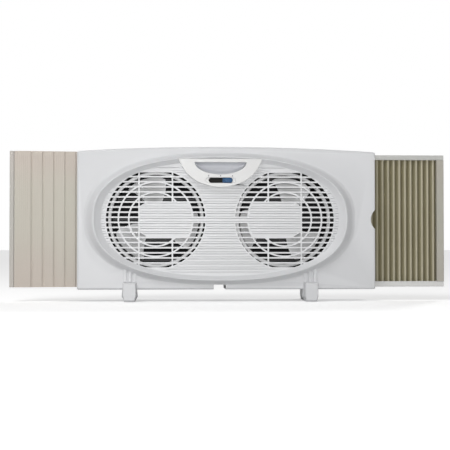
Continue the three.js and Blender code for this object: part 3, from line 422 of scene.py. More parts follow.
def moulded(name, colour, roughness, drift=0.02, depth=0.00003, worn=0.0, shine=0.5):
    """Moulded plastic: a slow drift of its colour, a fine spark-eroded grain, paler worn edges."""
    material, shader, place = blank(name)
    cloud = place.node("ShaderNodeTexNoise", None, {"Vector": place, "Scale": 11.0, "Detail": 3.0})
    low = [c * (1 - drift) for c in colour]
    high = [min(1.0, c * (1 + drift)) for c in colour]
    tint = cloud.between(low, high)
    if worn:
        bend = place.node("ShaderNodeNewGeometry", None, None, out=7)
        edge = ((bend - 0.515) * 14.0).clamped() * worn
        rubbed = [min(1.0, c * 1.18 + 0.02) for c in colour]
        tint = edge.node("ShaderNodeMix", {"data_type": "RGBA"},
                         {0: edge, 6: tint, 7: (*rubbed, 1.0)}, out=2)
    pores = place.node("ShaderNodeTexNoise", None,
                       {"Vector": place, "Scale": MOULD_GRAIN, "Detail": 2.0})
    smear = place.node("ShaderNodeTexNoise", None, {"Vector": place, "Scale": 38.0, "Detail": 4.0})
    rough = smear * 0.08 + (roughness - 0.04)
    bump = pores.node("ShaderNodeBump", None,
                      {"Strength": 0.6, "Distance": depth, "Height": pores})
    links = material.node_tree.links
    links.new(tint.socket, shader.inputs["Base Color"])
    links.new(rough.socket, shader.inputs["Roughness"])
    links.new(bump.socket, shader.inputs["Normal"])
    shader.inputs["Specular IOR Level"].default_value = shine
    return material


shell_plastic = moulded("shell_plastic", SHELL_GREY, 0.42, worn=0.3)


def turned_edge(steps, radius, inset, y, way):
    """Loops round a rounded edge, from the flat face to the side wall."""
    loops = []
    for i in range(steps + 1):
        t = math.radians(90.0 * i / steps)
        loops.append([(x, y + way * radius * (1 - math.cos(t)), z)
                      for x, z in outline(inset + radius * (1 - math.sin(t)))])
    return loops


def level_loop(inset, y):
    return [(x, y, z) for x, z in outline(inset)]


rear_shell = skin(
    "rear_shell",
    [level_loop(0, 0.3)] + [level_loop(0, CASE_REAR - CORNER - 1)]
    + turned_edge(5, CORNER, 0, CASE_REAR, -1)[::-1] + [level_loop(CORNER + 1.5, CASE_REAR)],
    closed=False)
hollow = skin(
    "hollow", [level_loop(2, -5), level_loop(2, CASE_REAR - 3.8), level_loop(3, CASE_REAR - 2.4)],
    closed=False)
carve(rear_shell, hollow)
for side in (-1, 1):
    port = [(0, 44), (PORT_RADIUS, 44), (PORT_RADIUS, 60), (0, 60)]
    carve(rear_shell, spun("port", port, side * FAN_X, 0, 96))
carve(rear_shell, block("cord_way", *CORD_NOTCH))
gland_way = [(0, 44), (5.8, 44), (5.8, 60), (0, 60)]
carve(rear_shell, spun("gland_way", gland_way, GLAND_X, GLAND_Z, 32))
soften(rear_shell, 0.35, 2, 50)
fit(rear_shell, "rear_shell_moulding", shell_plastic, "casing", "shell_white", "rear_shell")

# ---- Rear grilles ----------------------------------------------------------------------------
# Two round black mouldings pressed into the ports of the rear shell. Each is a ring with
# fourteen leaning louvres, so rain runs off outwards and no straight way leads in.
FANS = (("left", -FAN_X, 1), ("right", FAN_X, -1))
LOUVRES = 14
LOUVRE_RISE, LOUVRE_WALL = 14.3, 2.8
louvre_plastic = moulded("louvre_plastic", (0.013, 0.013, 0.015), 0.46, drift=0.15, worn=0.12)

for fan, x, inward in FANS:
    grille = spun(
        "ring", [(94, 38.5), (94.5, 38), (96.5, 38), (97, 38.5), (97, 51.2), (96.2, 52),
                 (94.8, 52), (94, 51.2)], x, 0, 96)
    pitch = 188.0 / LOUVRES
    for i in range(LOUVRES):
        z = -94 + pitch * (i + 0.5)
        low, high = z - LOUVRE_RISE / 2, z + LOUVRE_RISE / 2
        louvre = pushed(
            "louvre", [(39, low), (51, high), (51, high + LOUVRE_WALL), (39, low + LOUVRE_WALL)],
            "X", x - 96, x + 96)
        carve(louvre, spun("disc", [(0, 30), (94.6, 30), (94.6, 60), (0, 60)], x, 0, 96),
              "INTERSECT")
        grille = joined("grille", [grille, louvre])
    soften(grille, 0.3, 2, 35)
    fit(grille, f"rear_louvres_{fan}", louvre_plastic, "casing", "louvre_black",
        f"rear_grille_{fan}")

# ---- Cord gland and casing screws ------------------------------------------------------------
# A black bush in the back lets the cord out. Four plated pan head screws with cross recesses
# pull the rear shell onto the posts of the front shell.
black_plastic = moulded("black_plastic", (0.012, 0.0115, 0.011), 0.55, drift=0.12, shine=0.12)
gland = spun(
    "gland", [(3.2, 40), (5.5, 40), (5.5, 52.3), (9, 52.3), (9, 53), (8.5, 54.5), (7, 55.4),
              (5.6, 56.3), (4.6, 56.5), (3.2, 56.5)], GLAND_X, GLAND_Z, 48)
soften(gland, 0.25, 2, 35)
fit(gland, "cord_bush", black_plastic, "casing", "black_plastic", "cord_gland")


def metal(name, colour, roughness, lines=(1.0, 1.0, 1.0), scale=900.0, depth=0.00002):
    """Bare or plated metal: drawn lines along one axis, and a patchy dullness."""
    material, shader, place = blank(name)
    drawn_out = place.node("ShaderNodeVectorMath", {"operation": "MULTIPLY"}, {0: place, 1: lines})
    lined = place.node("ShaderNodeTexNoise", None, {"Vector": drawn_out, "Scale": scale,
                                                    "Detail": 3.0})
    patch = place.node("ShaderNodeTexNoise", None, {"Vector": place, "Scale": 60.0, "Detail": 4.0})
    tint = patch.between([c * 0.86 for c in colour], [min(1, c * 1.1) for c in colour])
    bump = lined.node("ShaderNodeBump", None, {"Strength": 0.5, "Distance": depth,
                                               "Height": lined})
    links = material.node_tree.links
    links.new(tint.socket, shader.inputs["Base Color"])
    links.new((patch * 0.2 + (roughness - 0.1)).socket, shader.inputs["Roughness"])
    links.new(bump.socket, shader.inputs["Normal"])
    shader.inputs["Metallic"].default_value = 1.0
    return material


plated_steel = metal("plated_steel", (0.56, 0.57, 0.58), 0.34)
screw_box = [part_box(f"shell_screw_{i}") for i in range(1, 5)]
for i, (low, high) in enumerate(screw_box, 1):
    x, z = [((low + high) / 2 - ORIGIN)[a] * 1000 for a in (0, 2)]
    screw = spun(
        "screw", [(0, 36), (1.2, 36), (1.6, 37), (1.6, 52.3), (3.8, 52.3), (3.8, 52.8),
                  (3.55, 53.5), (2.8, 54.1), (1.5, 54.42), (0, 54.5)], x, z, 32)
    for half_x, half_z in ((1.9, 0.42), (0.42, 1.9)):
        carve(screw, block("recess", (x - half_x, 53.2, z - half_z), (x + half_x, 56, z + half_z)))
    soften(screw, 0.1, 1, 40)
    fit(screw, f"casing_screw_{i}", plated_steel, "casing", "steel", f"shell_screw_{i}")

# ---- Duct tray and air rings -----------------------------------------------------------------
# A black tray closes the fan chamber off from the panel pockets. Two rings stand in it round the
# blade tips. The front lip of each is white, its duct wall and the flange on the tray are black.
tray = copied("duct_tray")
soften(tray, 0.5, 2, 40)
fit(tray, "chamber_tray", black_plastic, "casing", "black_plastic", "duct_tray")

blade_plastic = moulded("blade_plastic", (0.93, 0.935, 0.94), 0.34, drift=0.01, depth=0.00001)
for fan, x, inward in FANS:
    lip = spun(
        "lip", [(86.5, -9.5), (87.0, -11.8), (88.0, -13), (92.0, -13), (92.8, -12.6),
                (93.0, -11.9), (92.6, -11.2), (90.0, -10.6), (89, -9.5)], x, 0, 128)
    duct = spun(
        "duct", [(86.5, -9.4), (89, -9.4), (89, 10.7), (95.5, 10.7), (95.5, 12.7), (89, 12.7),
                 (89, 31), (86.5, 31)], x, 0, 128)
    soften(lip, 0.2, 2, 35)
    soften(duct, 0.2, 2, 35)
    fit(lip, f"ring_lip_{fan}", blade_plastic, "casing", "blade_white", f"air_ring_{fan}")
    fit(duct, f"ring_duct_{fan}", black_plastic, "casing", "black_plastic", f"air_ring_{fan}")

# ---- Motors ----------------------------------------------------------------------------------
# Each fan has a small shaded pole motor behind its cover: a stack of steel laminations, a coil
# of enamelled wire on its inner leg, die cast bearing bridges, two screws and a lead.
laminated_steel = metal("laminated_steel", (0.30, 0.31, 0.32), 0.45, (0.02, 1.0, 0.02), 2000.0,
                        0.0001)
coil_copper = metal("coil_copper", (0.62, 0.27, 0.10), 0.32, (0.05, 0.05, 1.0), 1600.0, 0.0001)
cast_zinc = metal("cast_zinc", (0.50, 0.50, 0.51), 0.5, (1.0, 1.0, 1.0), 500.0, 0.00004)
lead_rubber = moulded("lead_rubber", (0.05, 0.05, 0.06), 0.6)


def painted(node, material):
    """A CAD node shown as it is, with its own finish."""
    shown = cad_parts[node]
    shown.data.materials.clear()
    shown.data.materials.append(material)


for fan, x, inward in FANS:
    painted(f"motor_core_{fan}", laminated_steel)
    painted(f"motor_rotor_{fan}", laminated_steel)
    painted(f"motor_coil_{fan}", coil_copper)
    painted(f"motor_lead_{fan}", lead_rubber)
    painted(f"motor_shaft_{fan}", plated_steel)
    for part in ("front", "rear"):
        bridge = copied(f"motor_bracket_{part}_{fan}")
        soften(bridge, 0.3, 2, 40)
        fit(bridge, f"bearing_bridge_{part}_{fan}", cast_zinc, "casing", "zinc",
            f"motor_bracket_{part}_{fan}")
    for i in (1, 2):
        painted(f"motor_screw_{fan}_{i}", plated_steel)
painted("switch_body", black_plastic)

# ---- Impellers -------------------------------------------------------------------------------
# Glossy white mouldings: three broad twisted blades on a cup shaped hub, pushed on the motor's
# shaft and held by a black clip. The blade is a grid laid on its twisted surface, then thickened.
BLADE_TIP, HUB_RADIUS, HUB_WALL = 84.0, 21.0, 1.8
BLADE_TURN = {"left": 95, "right": 65}


def blade(x, turn):
    alone()
    bpy.ops.mesh.primitive_grid_add(x_subdivisions=30, y_subdivisions=30, size=1)
    sheet = bpy.context.object
    root = HUB_RADIUS - HUB_WALL / 2
    for vertex in sheet.data.vertices:
        c, s = vertex.co.x, vertex.co.y + 0.5
        wide = 44 + 12 * math.sin(s * math.pi / 2)
        deep = 18 + 12 * s
        trim = 3.2 * s * s * max(0.0, (abs(c) - 0.3) / 0.2) ** 2.4
        r = root + (BLADE_TIP - root) * s - trim
        angle = math.radians(turn + wide * c + 10 * s * s)
        y = -1 + deep / 2 + deep * 0.42 * math.sin(c * math.pi)
        vertex.co = (x + r * math.cos(angle), y, r * math.sin(angle))
    worked(sheet, "SOLIDIFY", thickness=1.8, offset=0.0, use_even_offset=True)
    edit(sheet, turn_out)
    worked(sheet, "BEVEL", width=0.55, segments=2, limit_method="ANGLE",
           angle_limit=math.radians(50))
    return sheet


for fan, x, inward in FANS:
    hub = spun(
        "hub", [(2.7, -1), (6.5, -1), (6.5, 19.2), (19.2, 19.2), (19.2, -3), (21, -3), (21, 18.2),
                (20.6, 19.8), (19.6, 20.8), (18.4, 21), (2.7, 21)], x, 0, 72)
    for k in range(3):
        carve(hub, blade(x, BLADE_TURN[fan] + 120 * k), "UNION")
    bore = spun("bore", [(0, -12), (19.2, -12), (19.2, 19.2), (0, 19.2)], x, 0, 72)
    core = spun("core", [(0, -20), (6.5, -20), (6.5, 30), (0, 30)], x, 0, 72)
    carve(bore, core)
    carve(hub, bore)
    alone(hub)
    bpy.ops.object.shade_smooth_by_angle(angle=math.radians(35))
    fit(hub, f"blade_wheel_{fan}", blade_plastic, f"impeller_{fan}", "blade_white",
        f"impeller_{fan}")
    clip = spun("clip", [(2.7, 21.3), (6, 21.3), (6, 22.6), (5.4, 25), (2.7, 25)], x, 0, 36)
    soften(clip, 0.3, 2, 30)
    fit(clip, f"shaft_clip_{fan}", black_plastic, f"impeller_{fan}", "black_plastic",
        f"hub_clip_{fan}")

# ---- Front shell -----------------------------------------------------------------------------
# The front half of the casing, in the same light grey plastic. A broad raised rim runs round
# the oval opening, steep inside and flowing out into the flat face. Three ribs lead to each foot.
OVAL_UP, OVAL_FULL = 1.2, 2.4
LIP_A, LIP_B = 234.5, 112.0
LEAN_SIDE, LEAN_TOP = 6.0, 4.5
RIM_SIDE, RIM_TOP = 22.0, 11.8
SKIN = 2.4


def oval(a, b, y, steps=None):
    """Points round the full oval, as many as in the casing's outline unless steps is given."""
    if steps:
        turns = [2 * math.pi * (i + 0.5) / steps for i in range(steps)]
        ways = [(math.cos(t), math.sin(t)) for t in turns]
    else:
        ways = [(x / 262.0, (z - OVAL_UP) / 128.0) for x, z in outline(CORNER)]
    points = []
    for u, v in ways:
        k = (abs(u) ** OVAL_FULL + abs(v) ** OVAL_FULL) ** (-1 / OVAL_FULL)
        points.append((a * u * k, y, OVAL_UP + b * v * k))
    return points


def flare(s, y):
    """One loop of the rim, s being 0 at its crest and 1 where it meets the face."""
    return oval(LIP_A + LEAN_SIDE + RIM_SIDE * s, LIP_B + LEAN_TOP + RIM_TOP * s, y)


rim_wall = [oval(LIP_A, LIP_B, -35.8), oval(LIP_A, LIP_B, -41.9)] + [
    oval(LIP_A + side, LIP_B + high, y) for side, high, y in (
        (-5.0, -2.0, -42.05), (-4.9, -1.9, -42.4), (-3.4, -1.0, -43.2), (-1.2, 0.3, -44.5),
        (1.0, 1.5, -46.0), (3.2, 2.8, -47.6), (4.8, 3.7, -48.8))]
rim_outside = [flare(s, y) for s, y in (
    (0.0, -49.9), (0.045, -50.8), (0.095, -51.35), (0.145, -51.5), (0.195, -51.3), (0.245, -50.75),
    (0.3, -49.75), (0.38, -47.9), (0.46, -46.0), (0.54, -44.1), (0.62, -42.35), (0.7, -40.85),
    (0.78, -39.65), (0.87, -38.75), (0.96, -38.2), (1.05, -38.0))]
face_loops = [level_loop(CORNER + 1.5, CASE_FACE)] + turned_edge(6, CORNER, 0, CASE_FACE, 1)
inside_loops = [
    level_loop(0, -1), level_loop(0, 0), level_loop(2, 0), level_loop(2, -34.2),
    level_loop(3, CASE_FACE + SKIN), flare(1.0, CASE_FACE + SKIN), flare(0.84, CASE_FACE + SKIN),
    flare(0.5, -41.5), flare(0.22, -47.6), flare(0.1, -48.0), oval(LIP_A + 5.6, LIP_B + 4.4, -40)]
front_shell = skin("front_shell", rim_wall + rim_outside + face_loops + inside_loops, closed=True)

# what is cut from it: the cord's notch, the finger's notch, the pockets' mouths, the panel's seat
PANEL_TOP, PANEL_LIP = 113.6, 116.3
PANEL_HALF = [
    (80.4, 0), (76.5, 7.4), (72.6, 14.1), (68.3, 21.6), (61.5, 28.6), (56.0, 33.7), (47.0, 40.0),
    (40.0, 43.6), (24.0, 48.9), (12.0, 51.4), (0.0, 52.4)]
GRIP_HALF, GRIP_TOP, GRIP_DROP = 49.6, 109.3, 23.0
FOOT_X, RIB_PITCH = 174, 9.3
FINGER_RADIUS, FINGER_LEFT = 24.56, 293


def panel_outline(by, top=PANEL_TOP):
    """The half moon of the control panel, smoothed between its measured points and grown by by."""
    half = []
    for i in range(len(PANEL_HALF) - 1):
        a, b = PANEL_HALF[max(i - 1, 0)], PANEL_HALF[i]
        c = PANEL_HALF[i + 1]
        d = PANEL_HALF[i + 2] if i + 2 < len(PANEL_HALF) else (-PANEL_HALF[i][0], PANEL_HALF[i][1])
        for k in range(5):
            t = k / 5
            half.append(tuple(
                0.5 * (2 * q + (r - p) * t + (2 * p - 5 * q + 4 * r - s) * t * t
                       + (3 * q - p - 3 * r + s) * t ** 3)
                for p, q, r, s in zip(a, b, c, d)))
    half.append(PANEL_HALF[-1])
    half.insert(0, (PANEL_HALF[0][0] + (top - PANEL_TOP) * 0.42, PANEL_TOP - top - 0.01))
    points = [(-w, PANEL_TOP - down) for w, down in half]
    points += [(w, PANEL_TOP - down) for w, down in reversed(half[:-1])]
    return grown(points, by)


def grown(points, by):
    """An outline with each of its sides moved outwards by the same distance."""
    made = []
    for i, (x, z) in enumerate(points):
        ax, az = points[i - 1]
        bx, bz = points[(i + 1) % len(points)]
        before = Vector((z - az, ax - x)).normalized()
        after = Vector((bz - z, x - bx)).normalized()
        k = by / (1 + before.dot(after))
        made.append((x + k * (before.x + after.x), z + k * (before.y + after.y)))
    return made


def half_moon(by, steps=40):
    points = [(-GRIP_HALF - by, GRIP_TOP + by)]
    for i in range(1, steps):
        t = -math.pi + math.pi * i / steps
        points.append(((GRIP_HALF + by) * math.cos(t), GRIP_TOP + (GRIP_DROP + by) * math.sin(t)))
    return points + [(GRIP_HALF + by, GRIP_TOP + by)]


for rib_foot in (-FOOT_X, FOOT_X):
    for k in (-1, 0, 1):
        x = rib_foot + RIB_PITCH * k
        crest = 116.5 * (1 - abs(x / 239.0) ** OVAL_FULL) ** (1 / OVAL_FULL)
        top = OVAL_UP - crest - 13
        rib = pushed("rib", [(-37, -121.05), (-41.5, -121.05), (-41.5, top - 8), (-40.7, top - 3),
                             (-39.6, top + 3), (-37, top + 3)], "X", x - 2.7, x + 2.7)
        worked(rib, "BEVEL", width=0.6, segments=2, limit_method="ANGLE",
               angle_limit=math.radians(40))
        carve(front_shell, rib, "UNION")
carve(front_shell, block("cord_way", *CORD_NOTCH))
finger = [(0, -43), (FINGER_RADIUS, -43), (FINGER_RADIUS, 5), (0, 5)]
carve(front_shell, spun("finger", finger, FINGER_LEFT + FINGER_RADIUS, 0, 128))
carve(front_shell, block("slat_mouth", (-281, -31, -131.8), (-270.5, -16.7, 146)))
carve(front_shell, block("slat_top", (-281, -31, 0), (-240.3, -16.7, 146)))
carve(front_shell, block("rail_mouth", (297, -18.4, -133.05), (307, 5, 128.95)))
seat = pushed("seat", panel_outline(0.3), "Y", -60, -42)
carve(front_shell, seat)
carve(front_shell, pushed("seat_top", panel_outline(0.3, PANEL_LIP), "Y", -60, -49.1))
carve(front_shell, pushed("cup_seat", half_moon(2.3), "Y", -60, -27))
for i, (low, high) in enumerate(screw_box, 1):
    x, z = [((low + high) / 2 - ORIGIN)[a] * 1000 for a in (0, 2)]
    post = spun("post", [(1.9, 0), (1.9, 49.3), (4.5, 49.3), (4.5, -36.2), (1.9, -36.2)], x, z, 32)
    carve(front_shell, post, "UNION")
soften(front_shell, 0.3, 2, 50)
fit(front_shell, "front_shell_moulding", shell_plastic, "casing", "shell_white", "front_shell")

# ---- Front grille ----------------------------------------------------------------------------
# One white moulding fills the oval: rows of thin bars before each fan, two round bars and two
# uprights across them, a closed cover over each motor. Shallow channels run on over its closed
# parts at the height of the gaps. Its bosses carry the motors.
GRILLE_FRONT, GRILLE_BACK = -42.0, -38.0
ROW_PITCH, ROW_GAP, ROWS = 9.75, 6.8, 19
ROW_DROP = 1.2
OPEN_RADIUS, OUTER_RING, INNER_RING = 95.5, 71.5, 51.7
BAR = 3.0
CHANNEL_DEPTH, LINE_DEPTH = 0.8, 1.9

grille_plastic = moulded("grille_plastic", (0.70, 0.704, 0.715), 0.4, drift=0.012, worn=0.15)


def rows(low, high, y0, y1, count):
    """Slabs between two X places, one for each gap of the grille."""
    slabs = []
    for k in range(-count, count + 1):
        z = k * ROW_PITCH - ROW_DROP
        slabs.append(block("slab", (low, y0, z - ROW_GAP / 2), (high, y1, z + ROW_GAP / 2)))
    return joined("slabs", slabs)


def channelled(low, high, count):
    """Shallow channels at the height of the gaps, with a fine line cut along both their edges."""
    slabs = []
    for k in range(-count, count + 1):
        z, half = k * ROW_PITCH - ROW_DROP, ROW_GAP / 2
        floor_y, line_y = GRILLE_FRONT + CHANNEL_DEPTH, GRILLE_FRONT + LINE_DEPTH
        profile = [(-43, z - half), (GRILLE_FRONT, z - half), (line_y, z - half + 0.4),
                   (floor_y, z - half + 0.9), (floor_y, z + half - 1.0), (line_y, z + half - 0.5),
                   (GRILLE_FRONT, z + half), (-43, z + half)]
        slabs.append(pushed("channel", profile, "X", low, high))
    return joined("channels", slabs)


def oval_tool(a, b, y0, y1):
    return pushed("oval", [(x, z) for x, _, z in oval(a, b, 0, 200)], "Y", y0, y1)


def cover_outline(x, inward, inset):
    low, top = 2.5 * ROW_PITCH, 3.5 * ROW_PITCH
    half = [(-32 + inset, low - 0.4 * inset), (-16 + 0.4 * inset, top - inset),
            (OUTER_RING, top - inset)]
    around = half + [(u, -z) for u, z in reversed(half)]
    return [(x + inward * u, z) for u, z in around]


grille = pushed("grille", [(x, z) for x, _, z in oval(234.2, 111.7, 0, 240)],
                "Y", GRILLE_FRONT, GRILLE_BACK)
for fan, x, inward in FANS:
    cells = rows(x - 97, x + 97, -43, -37, (ROWS - 1) // 2)
    carve(cells, spun("disc", [(0, -45), (OPEN_RADIUS, -45), (OPEN_RADIUS, -35), (0, -35)],
                      x, 0, 128), "INTERSECT")
    for r in (OUTER_RING, INNER_RING):
        carve(cells, spun("ring", [(r - BAR / 2, -46), (r + BAR / 2, -46), (r + BAR / 2, -34),
                                   (r - BAR / 2, -34)], x, 0, 120))
    for u in (-32, 32):
        carve(cells, block("upright", (x + u - BAR / 2, -46, -100), (x + u + BAR / 2, -34, 100)))
    cover = pushed("cover", cover_outline(x, inward, 0), "Y", -46, -34)
    carve(cover, spun("disc", [(0, -50), (OUTER_RING, -50), (OUTER_RING, -30), (0, -30)],
                      x, 0, 120), "INTERSECT")
    carve(cells, cover)
    ends = sorted((x, x + inward * 98))
    carve(cells, block("bridge", (ends[0], -46, -ROW_PITCH / 2), (ends[1], -34, ROW_PITCH / 2)))
    worked(cells, "BEVEL", width=0.7, segments=2, limit_method="ANGLE",
           angle_limit=math.radians(40), use_clamp_overlap=True)
    carve(grille, cells)

channels = channelled(-232, 232, 10)
carve(channels, oval_tool(231.0, 108.5, -50, -30), "INTERSECT")
for fan, x, inward in FANS:
    around = spun("around", [(0, -50), (98, -50), (98, -30), (0, -30)], x, 0, 128)
    carve(channels, around)
for fan, x, inward in FANS:
    ends = sorted((x - inward * 60, x + inward * 72))
    field = channelled(*ends, 3)
    lid = pushed("lid", cover_outline(x, inward, 1.6), "Y", -50, -30)
    carve(lid, spun("disc", [(0, -55), (69.5, -55), (69.5, -25), (0, -25)], x, 0, 120),
          "INTERSECT")
    carve(field, lid, "INTERSECT")
    carve(channels, field, "UNION")
carve(channels, channelled(-60, 60, 0), "UNION")
carve(grille, channels)
window = pushed("window", panel_outline(-3.6), "Y", -43, -37)
carve(window, oval_tool(230.2, 107.7, -45, -35), "INTERSECT")
carve(grille, window)
carve(grille, pushed("cup_way", half_moon(2.3), "Y", -43, -37))
carve(grille, block("cup_top", (-51.9, -43, GRIP_TOP), (51.9, -37, 115)))
for fan, x, inward in FANS:
    for u, z in ((-18.0, 16.0), (24.5, -17.5)):
        boss = spun("boss", [(1.9, -36.0), (1.9, -26.3), (4, -26.3), (4, -38.6), (0, -38.6),
                             (0, -36.0)], x + inward * u, z, 24)
        carve(grille, boss, "UNION")
alone(grille)
bpy.ops.object.shade_smooth_by_angle(angle=math.radians(25))
fit(grille, "oval_grille", grille_plastic, "casing", "grille_white", "front_grille")

# ---- Control panel and hand grip -------------------------------------------------------------
# A half moon of smooth light plastic stands over the grille. Its upper opening is a hand grip
# with a rounded scoop behind it, its lower one the slot of the speed slider.
PANEL_FRONT, PANEL_BACK = -52.0, -42.3
PANEL_WALL = 2.6
SLOT_Z, SLOT_HALF, SLOT_RADIUS = 74.7, 23.2, 5.0


def stadium(middle, half, radius, steps=10):
    """An outline with half round ends, lying along the slot."""
    points = []
    for x, start in ((middle + half - radius, -90), (middle - half + radius, 90)):
        for i in range(steps + 1):
            t = math.radians(start + 180 * i / steps)
            points.append((x + radius * math.cos(t), SLOT_Z + radius * math.sin(t)))
    return points


def at_depth(points, y):
    return [(x, y, z) for x, z in points]


panel_plastic = moulded("panel_plastic", (0.70, 0.70, 0.695), 0.36, drift=0.01, worn=0.2)
panel = pushed("panel", panel_outline(0), "Y", PANEL_BACK, -50)
carve(panel, skin(
    "plate", [at_depth(panel_outline(d, PANEL_LIP), y) for d, y in (
        (0, -49.4), (0, -50.9), (-0.2, -51.5), (-0.6, -51.85), (-1.2, PANEL_FRONT))],
    closed=False), "UNION")
carve(panel, pushed("hollow", panel_outline(-PANEL_WALL), "Y", PANEL_FRONT + PANEL_WALL, -38))
behind = oval_tool(234.2, 111.7, PANEL_FRONT + PANEL_WALL - 0.5, -40)
carve(behind, oval_tool(262, 128, -55, PANEL_FRONT + PANEL_WALL), "UNION")
carve(panel, behind, "INTERSECT")
carve(panel, pushed("cup_seat", half_moon(2.3), "Y", PANEL_FRONT + PANEL_WALL, -38))
mouth = skin(
    "mouth", [at_depth(half_moon(d), y) for d, y in (
        (1.5, -53), (0.9, -52.05), (0.35, -51.8), (0.08, -51.4), (0, -50.8), (0, -40))],
    closed=False)
carve(panel, mouth)
carve(panel, skin(
    "recess", [at_depth(stadium(0, 28.9 + d, 5.3 + d), y) for d, y in (
        (0.6, -52.5), (0.2, -51.95), (0, -51.5), (-0.5, -50.3))], closed=False))
carve(panel, pushed("slot", stadium(0, SLOT_HALF, SLOT_RADIUS), "Y", -53, -40))
alone(panel)
bpy.ops.object.shade_smooth_by_angle(angle=math.radians(30))
worked(panel, "WEIGHTED_NORMAL", keep_sharp=True, weight=60)
fit(panel, "half_moon_panel", panel_plastic, "casing", "panel_white", "control_panel")

scoop = pushed("scoop", half_moon(2), "Y", PANEL_FRONT + PANEL_WALL + 0.3, -28.3)
carve(scoop, skin(
    "room", [at_depth(half_moon(d), y) for d, y in (
        (0, -55), (0, -49), (-0.4, -44), (-1.2, -39), (-2.6, -35), (-4.6, -32.4), (-6.6, -31),
        (-8.5, -30.4))], closed=False))
alone(scoop)
bpy.ops.object.shade_smooth_by_angle(angle=math.radians(34))
# The grip is the panel's plastic painted a little darker and bluer: painted shade in its recess.
grip_plastic_painted_shade = moulded("grip_plastic_painted_shade", (0.66, 0.67, 0.70), 0.42, drift=0.012)
fit(scoop, "hand_grip_scoop", grip_plastic_painted_shade, "casing", "panel_white", "handle_cup")

# ---- Speed slider ----------------------------------------------------------------------------
# A small blue knob, finely ribbed for the finger, moulded in one with the flange that runs
# behind the panel. Three printed ticks above the slot mark its places.
KNOB_LEFT, KNOB_RIGHT = 5.9, 22.9
blue_plastic = moulded("blue_plastic", (0.02, 0.085, 0.20), 0.4, drift=0.08, worn=0.3, shine=0.2)
knob_middle, knob_half = (KNOB_LEFT + KNOB_RIGHT) / 2, (KNOB_RIGHT - KNOB_LEFT) / 2
knob = skin(
    "knob", [at_depth(stadium(knob_middle, knob_half - d, 4.8 - d), y) for d, y in (
        (0, -48.6), (0, -51.6), (0.2, -52.3), (0.7, -52.8), (1.4, -53))], closed=False)
for k in range(-2, 3):
    rib = block("groove", (knob_middle + 2.2 * k - 0.4, -54, SLOT_Z - 2.6),
                (knob_middle + 2.2 * k + 0.4, -52.5, SLOT_Z + 2.6))
    carve(knob, rib)
carve(knob, block("flange", (KNOB_LEFT - 2, -49.1, SLOT_Z - 5.6), (KNOB_RIGHT + 2, -47.3,
                                                                     SLOT_Z + 5.6)), "UNION")
soften(knob, 0.15, 2, 40)
fit(knob, "slider_knob", blue_plastic, "speed_slider", "knob_blue", "switch_slider")

tick_ink = moulded("tick_ink", (0.03, 0.035, 0.045), 0.6, shine=0.2)
TICKS, TICK_HALF = (-23.1, -0.1, 22.6), 0.7
marks = joined("ticks", [
    block("tick", (x - TICK_HALF, PANEL_FRONT - 0.12, SLOT_Z + 7.3),
          (x + TICK_HALF, PANEL_FRONT + 0.1, SLOT_Z + 9.9)) for x in TICKS])
soften(marks, 0.08, 1, 40)
fit(marks, "slider_ticks", tick_ink, "casing", "black_plastic")

# ---- Feet ------------------------------------------------------------------------------------
# Two six sided feet in the casing's plastic. Each is clipped round the bottom of the casing
# from below, its nose in front and its heel behind, and it narrows towards the heel.
HEEL_TAPER, TAPER_START, TAPER_LENGTH = 0.45, -34, 80
for side, middle in (("left", -FOOT_X), ("right", FOOT_X)):
    foot = copied(f"foot_{side}")
    for vertex in foot.data.vertices:
        behind_nose = min(1.0, max(0.0, (vertex.co.y - TAPER_START) / TAPER_LENGTH))
        vertex.co.x = middle + (vertex.co.x - middle) * (1 - HEEL_TAPER * behind_nose)
    soften(foot, 0.9, 3, 12)
    fit(foot, f"clip_foot_{side}", shell_plastic, "casing", "shell_white", f"foot_{side}")

# ---- Left panel ------------------------------------------------------------------------------
# Five thin beige slats of extruded plastic that slide behind one another. Each one's inner edge
# hooks over the next, fine lines run down their faces, and an end post finishes the first.
SLAT_LOW, SLAT_HIGH = -130.8, 131.25
SLAT_EDGES = (-364.0, -342.8, -321.6, -300.4, -279.2)
SLAT_THICK, SLAT_STEP, SLAT_FRONT = 1.5, 2.3, -30.0
LINE_PITCH = 3.9
SLAT_BODIES = ("left_panel_end", "left_slat_2", "left_slat_3", "left_slat_4", "left_slat_5")


def extruded(name, pink, green, roughness):
    """Extruded plastic: faint draw lines down its length, a slow drift of its tint, and a painted
    colour cast of the light.
    """
    material, shader, place = blank(name)
    slow = place.node("ShaderNodeTexNoise", None, {"Vector": place, "Scale": 7.0, "Detail": 1.5})
    height = place.node("ShaderNodeSeparateXYZ", None, {0: place}, out=2)
    # Painted colour cast of the light: pinker towards the top and bottom, greener at mid height.
    away = (height - 0.15) * (height - 0.15)
    warm = (away * 60.0 + (slow - 0.5) * 1.6 + 0.2).clamped()
    tint = warm.between(green, pink)
    stretched = place.node("ShaderNodeVectorMath", {"operation": "MULTIPLY"},
                           {0: place, 1: (1.0, 1.0, 0.012)})
    lines = place.node("ShaderNodeTexNoise", None,
                       {"Vector": stretched, "Scale": 1500.0, "Detail": 2.0})
    shade = lines.between([0.93] * 3, [1.05] * 3)
    drawn_tint = tint.node("ShaderNodeMix", {"data_type": "RGBA", "blend_type": "MULTIPLY"},
                           {0: 1.0, 6: tint, 7: shade}, out=2)
    bump = lines.node("ShaderNodeBump", None, {"Strength": 0.35, "Distance": 0.00003,
                                               "Height": lines})
    links = material.node_tree.links
    links.new(drawn_tint.socket, shader.inputs["Base Color"])
    links.new((lines * 0.12 + (roughness - 0.06)).socket, shader.inputs["Roughness"])
    links.new(bump.socket, shader.inputs["Normal"])
    return material


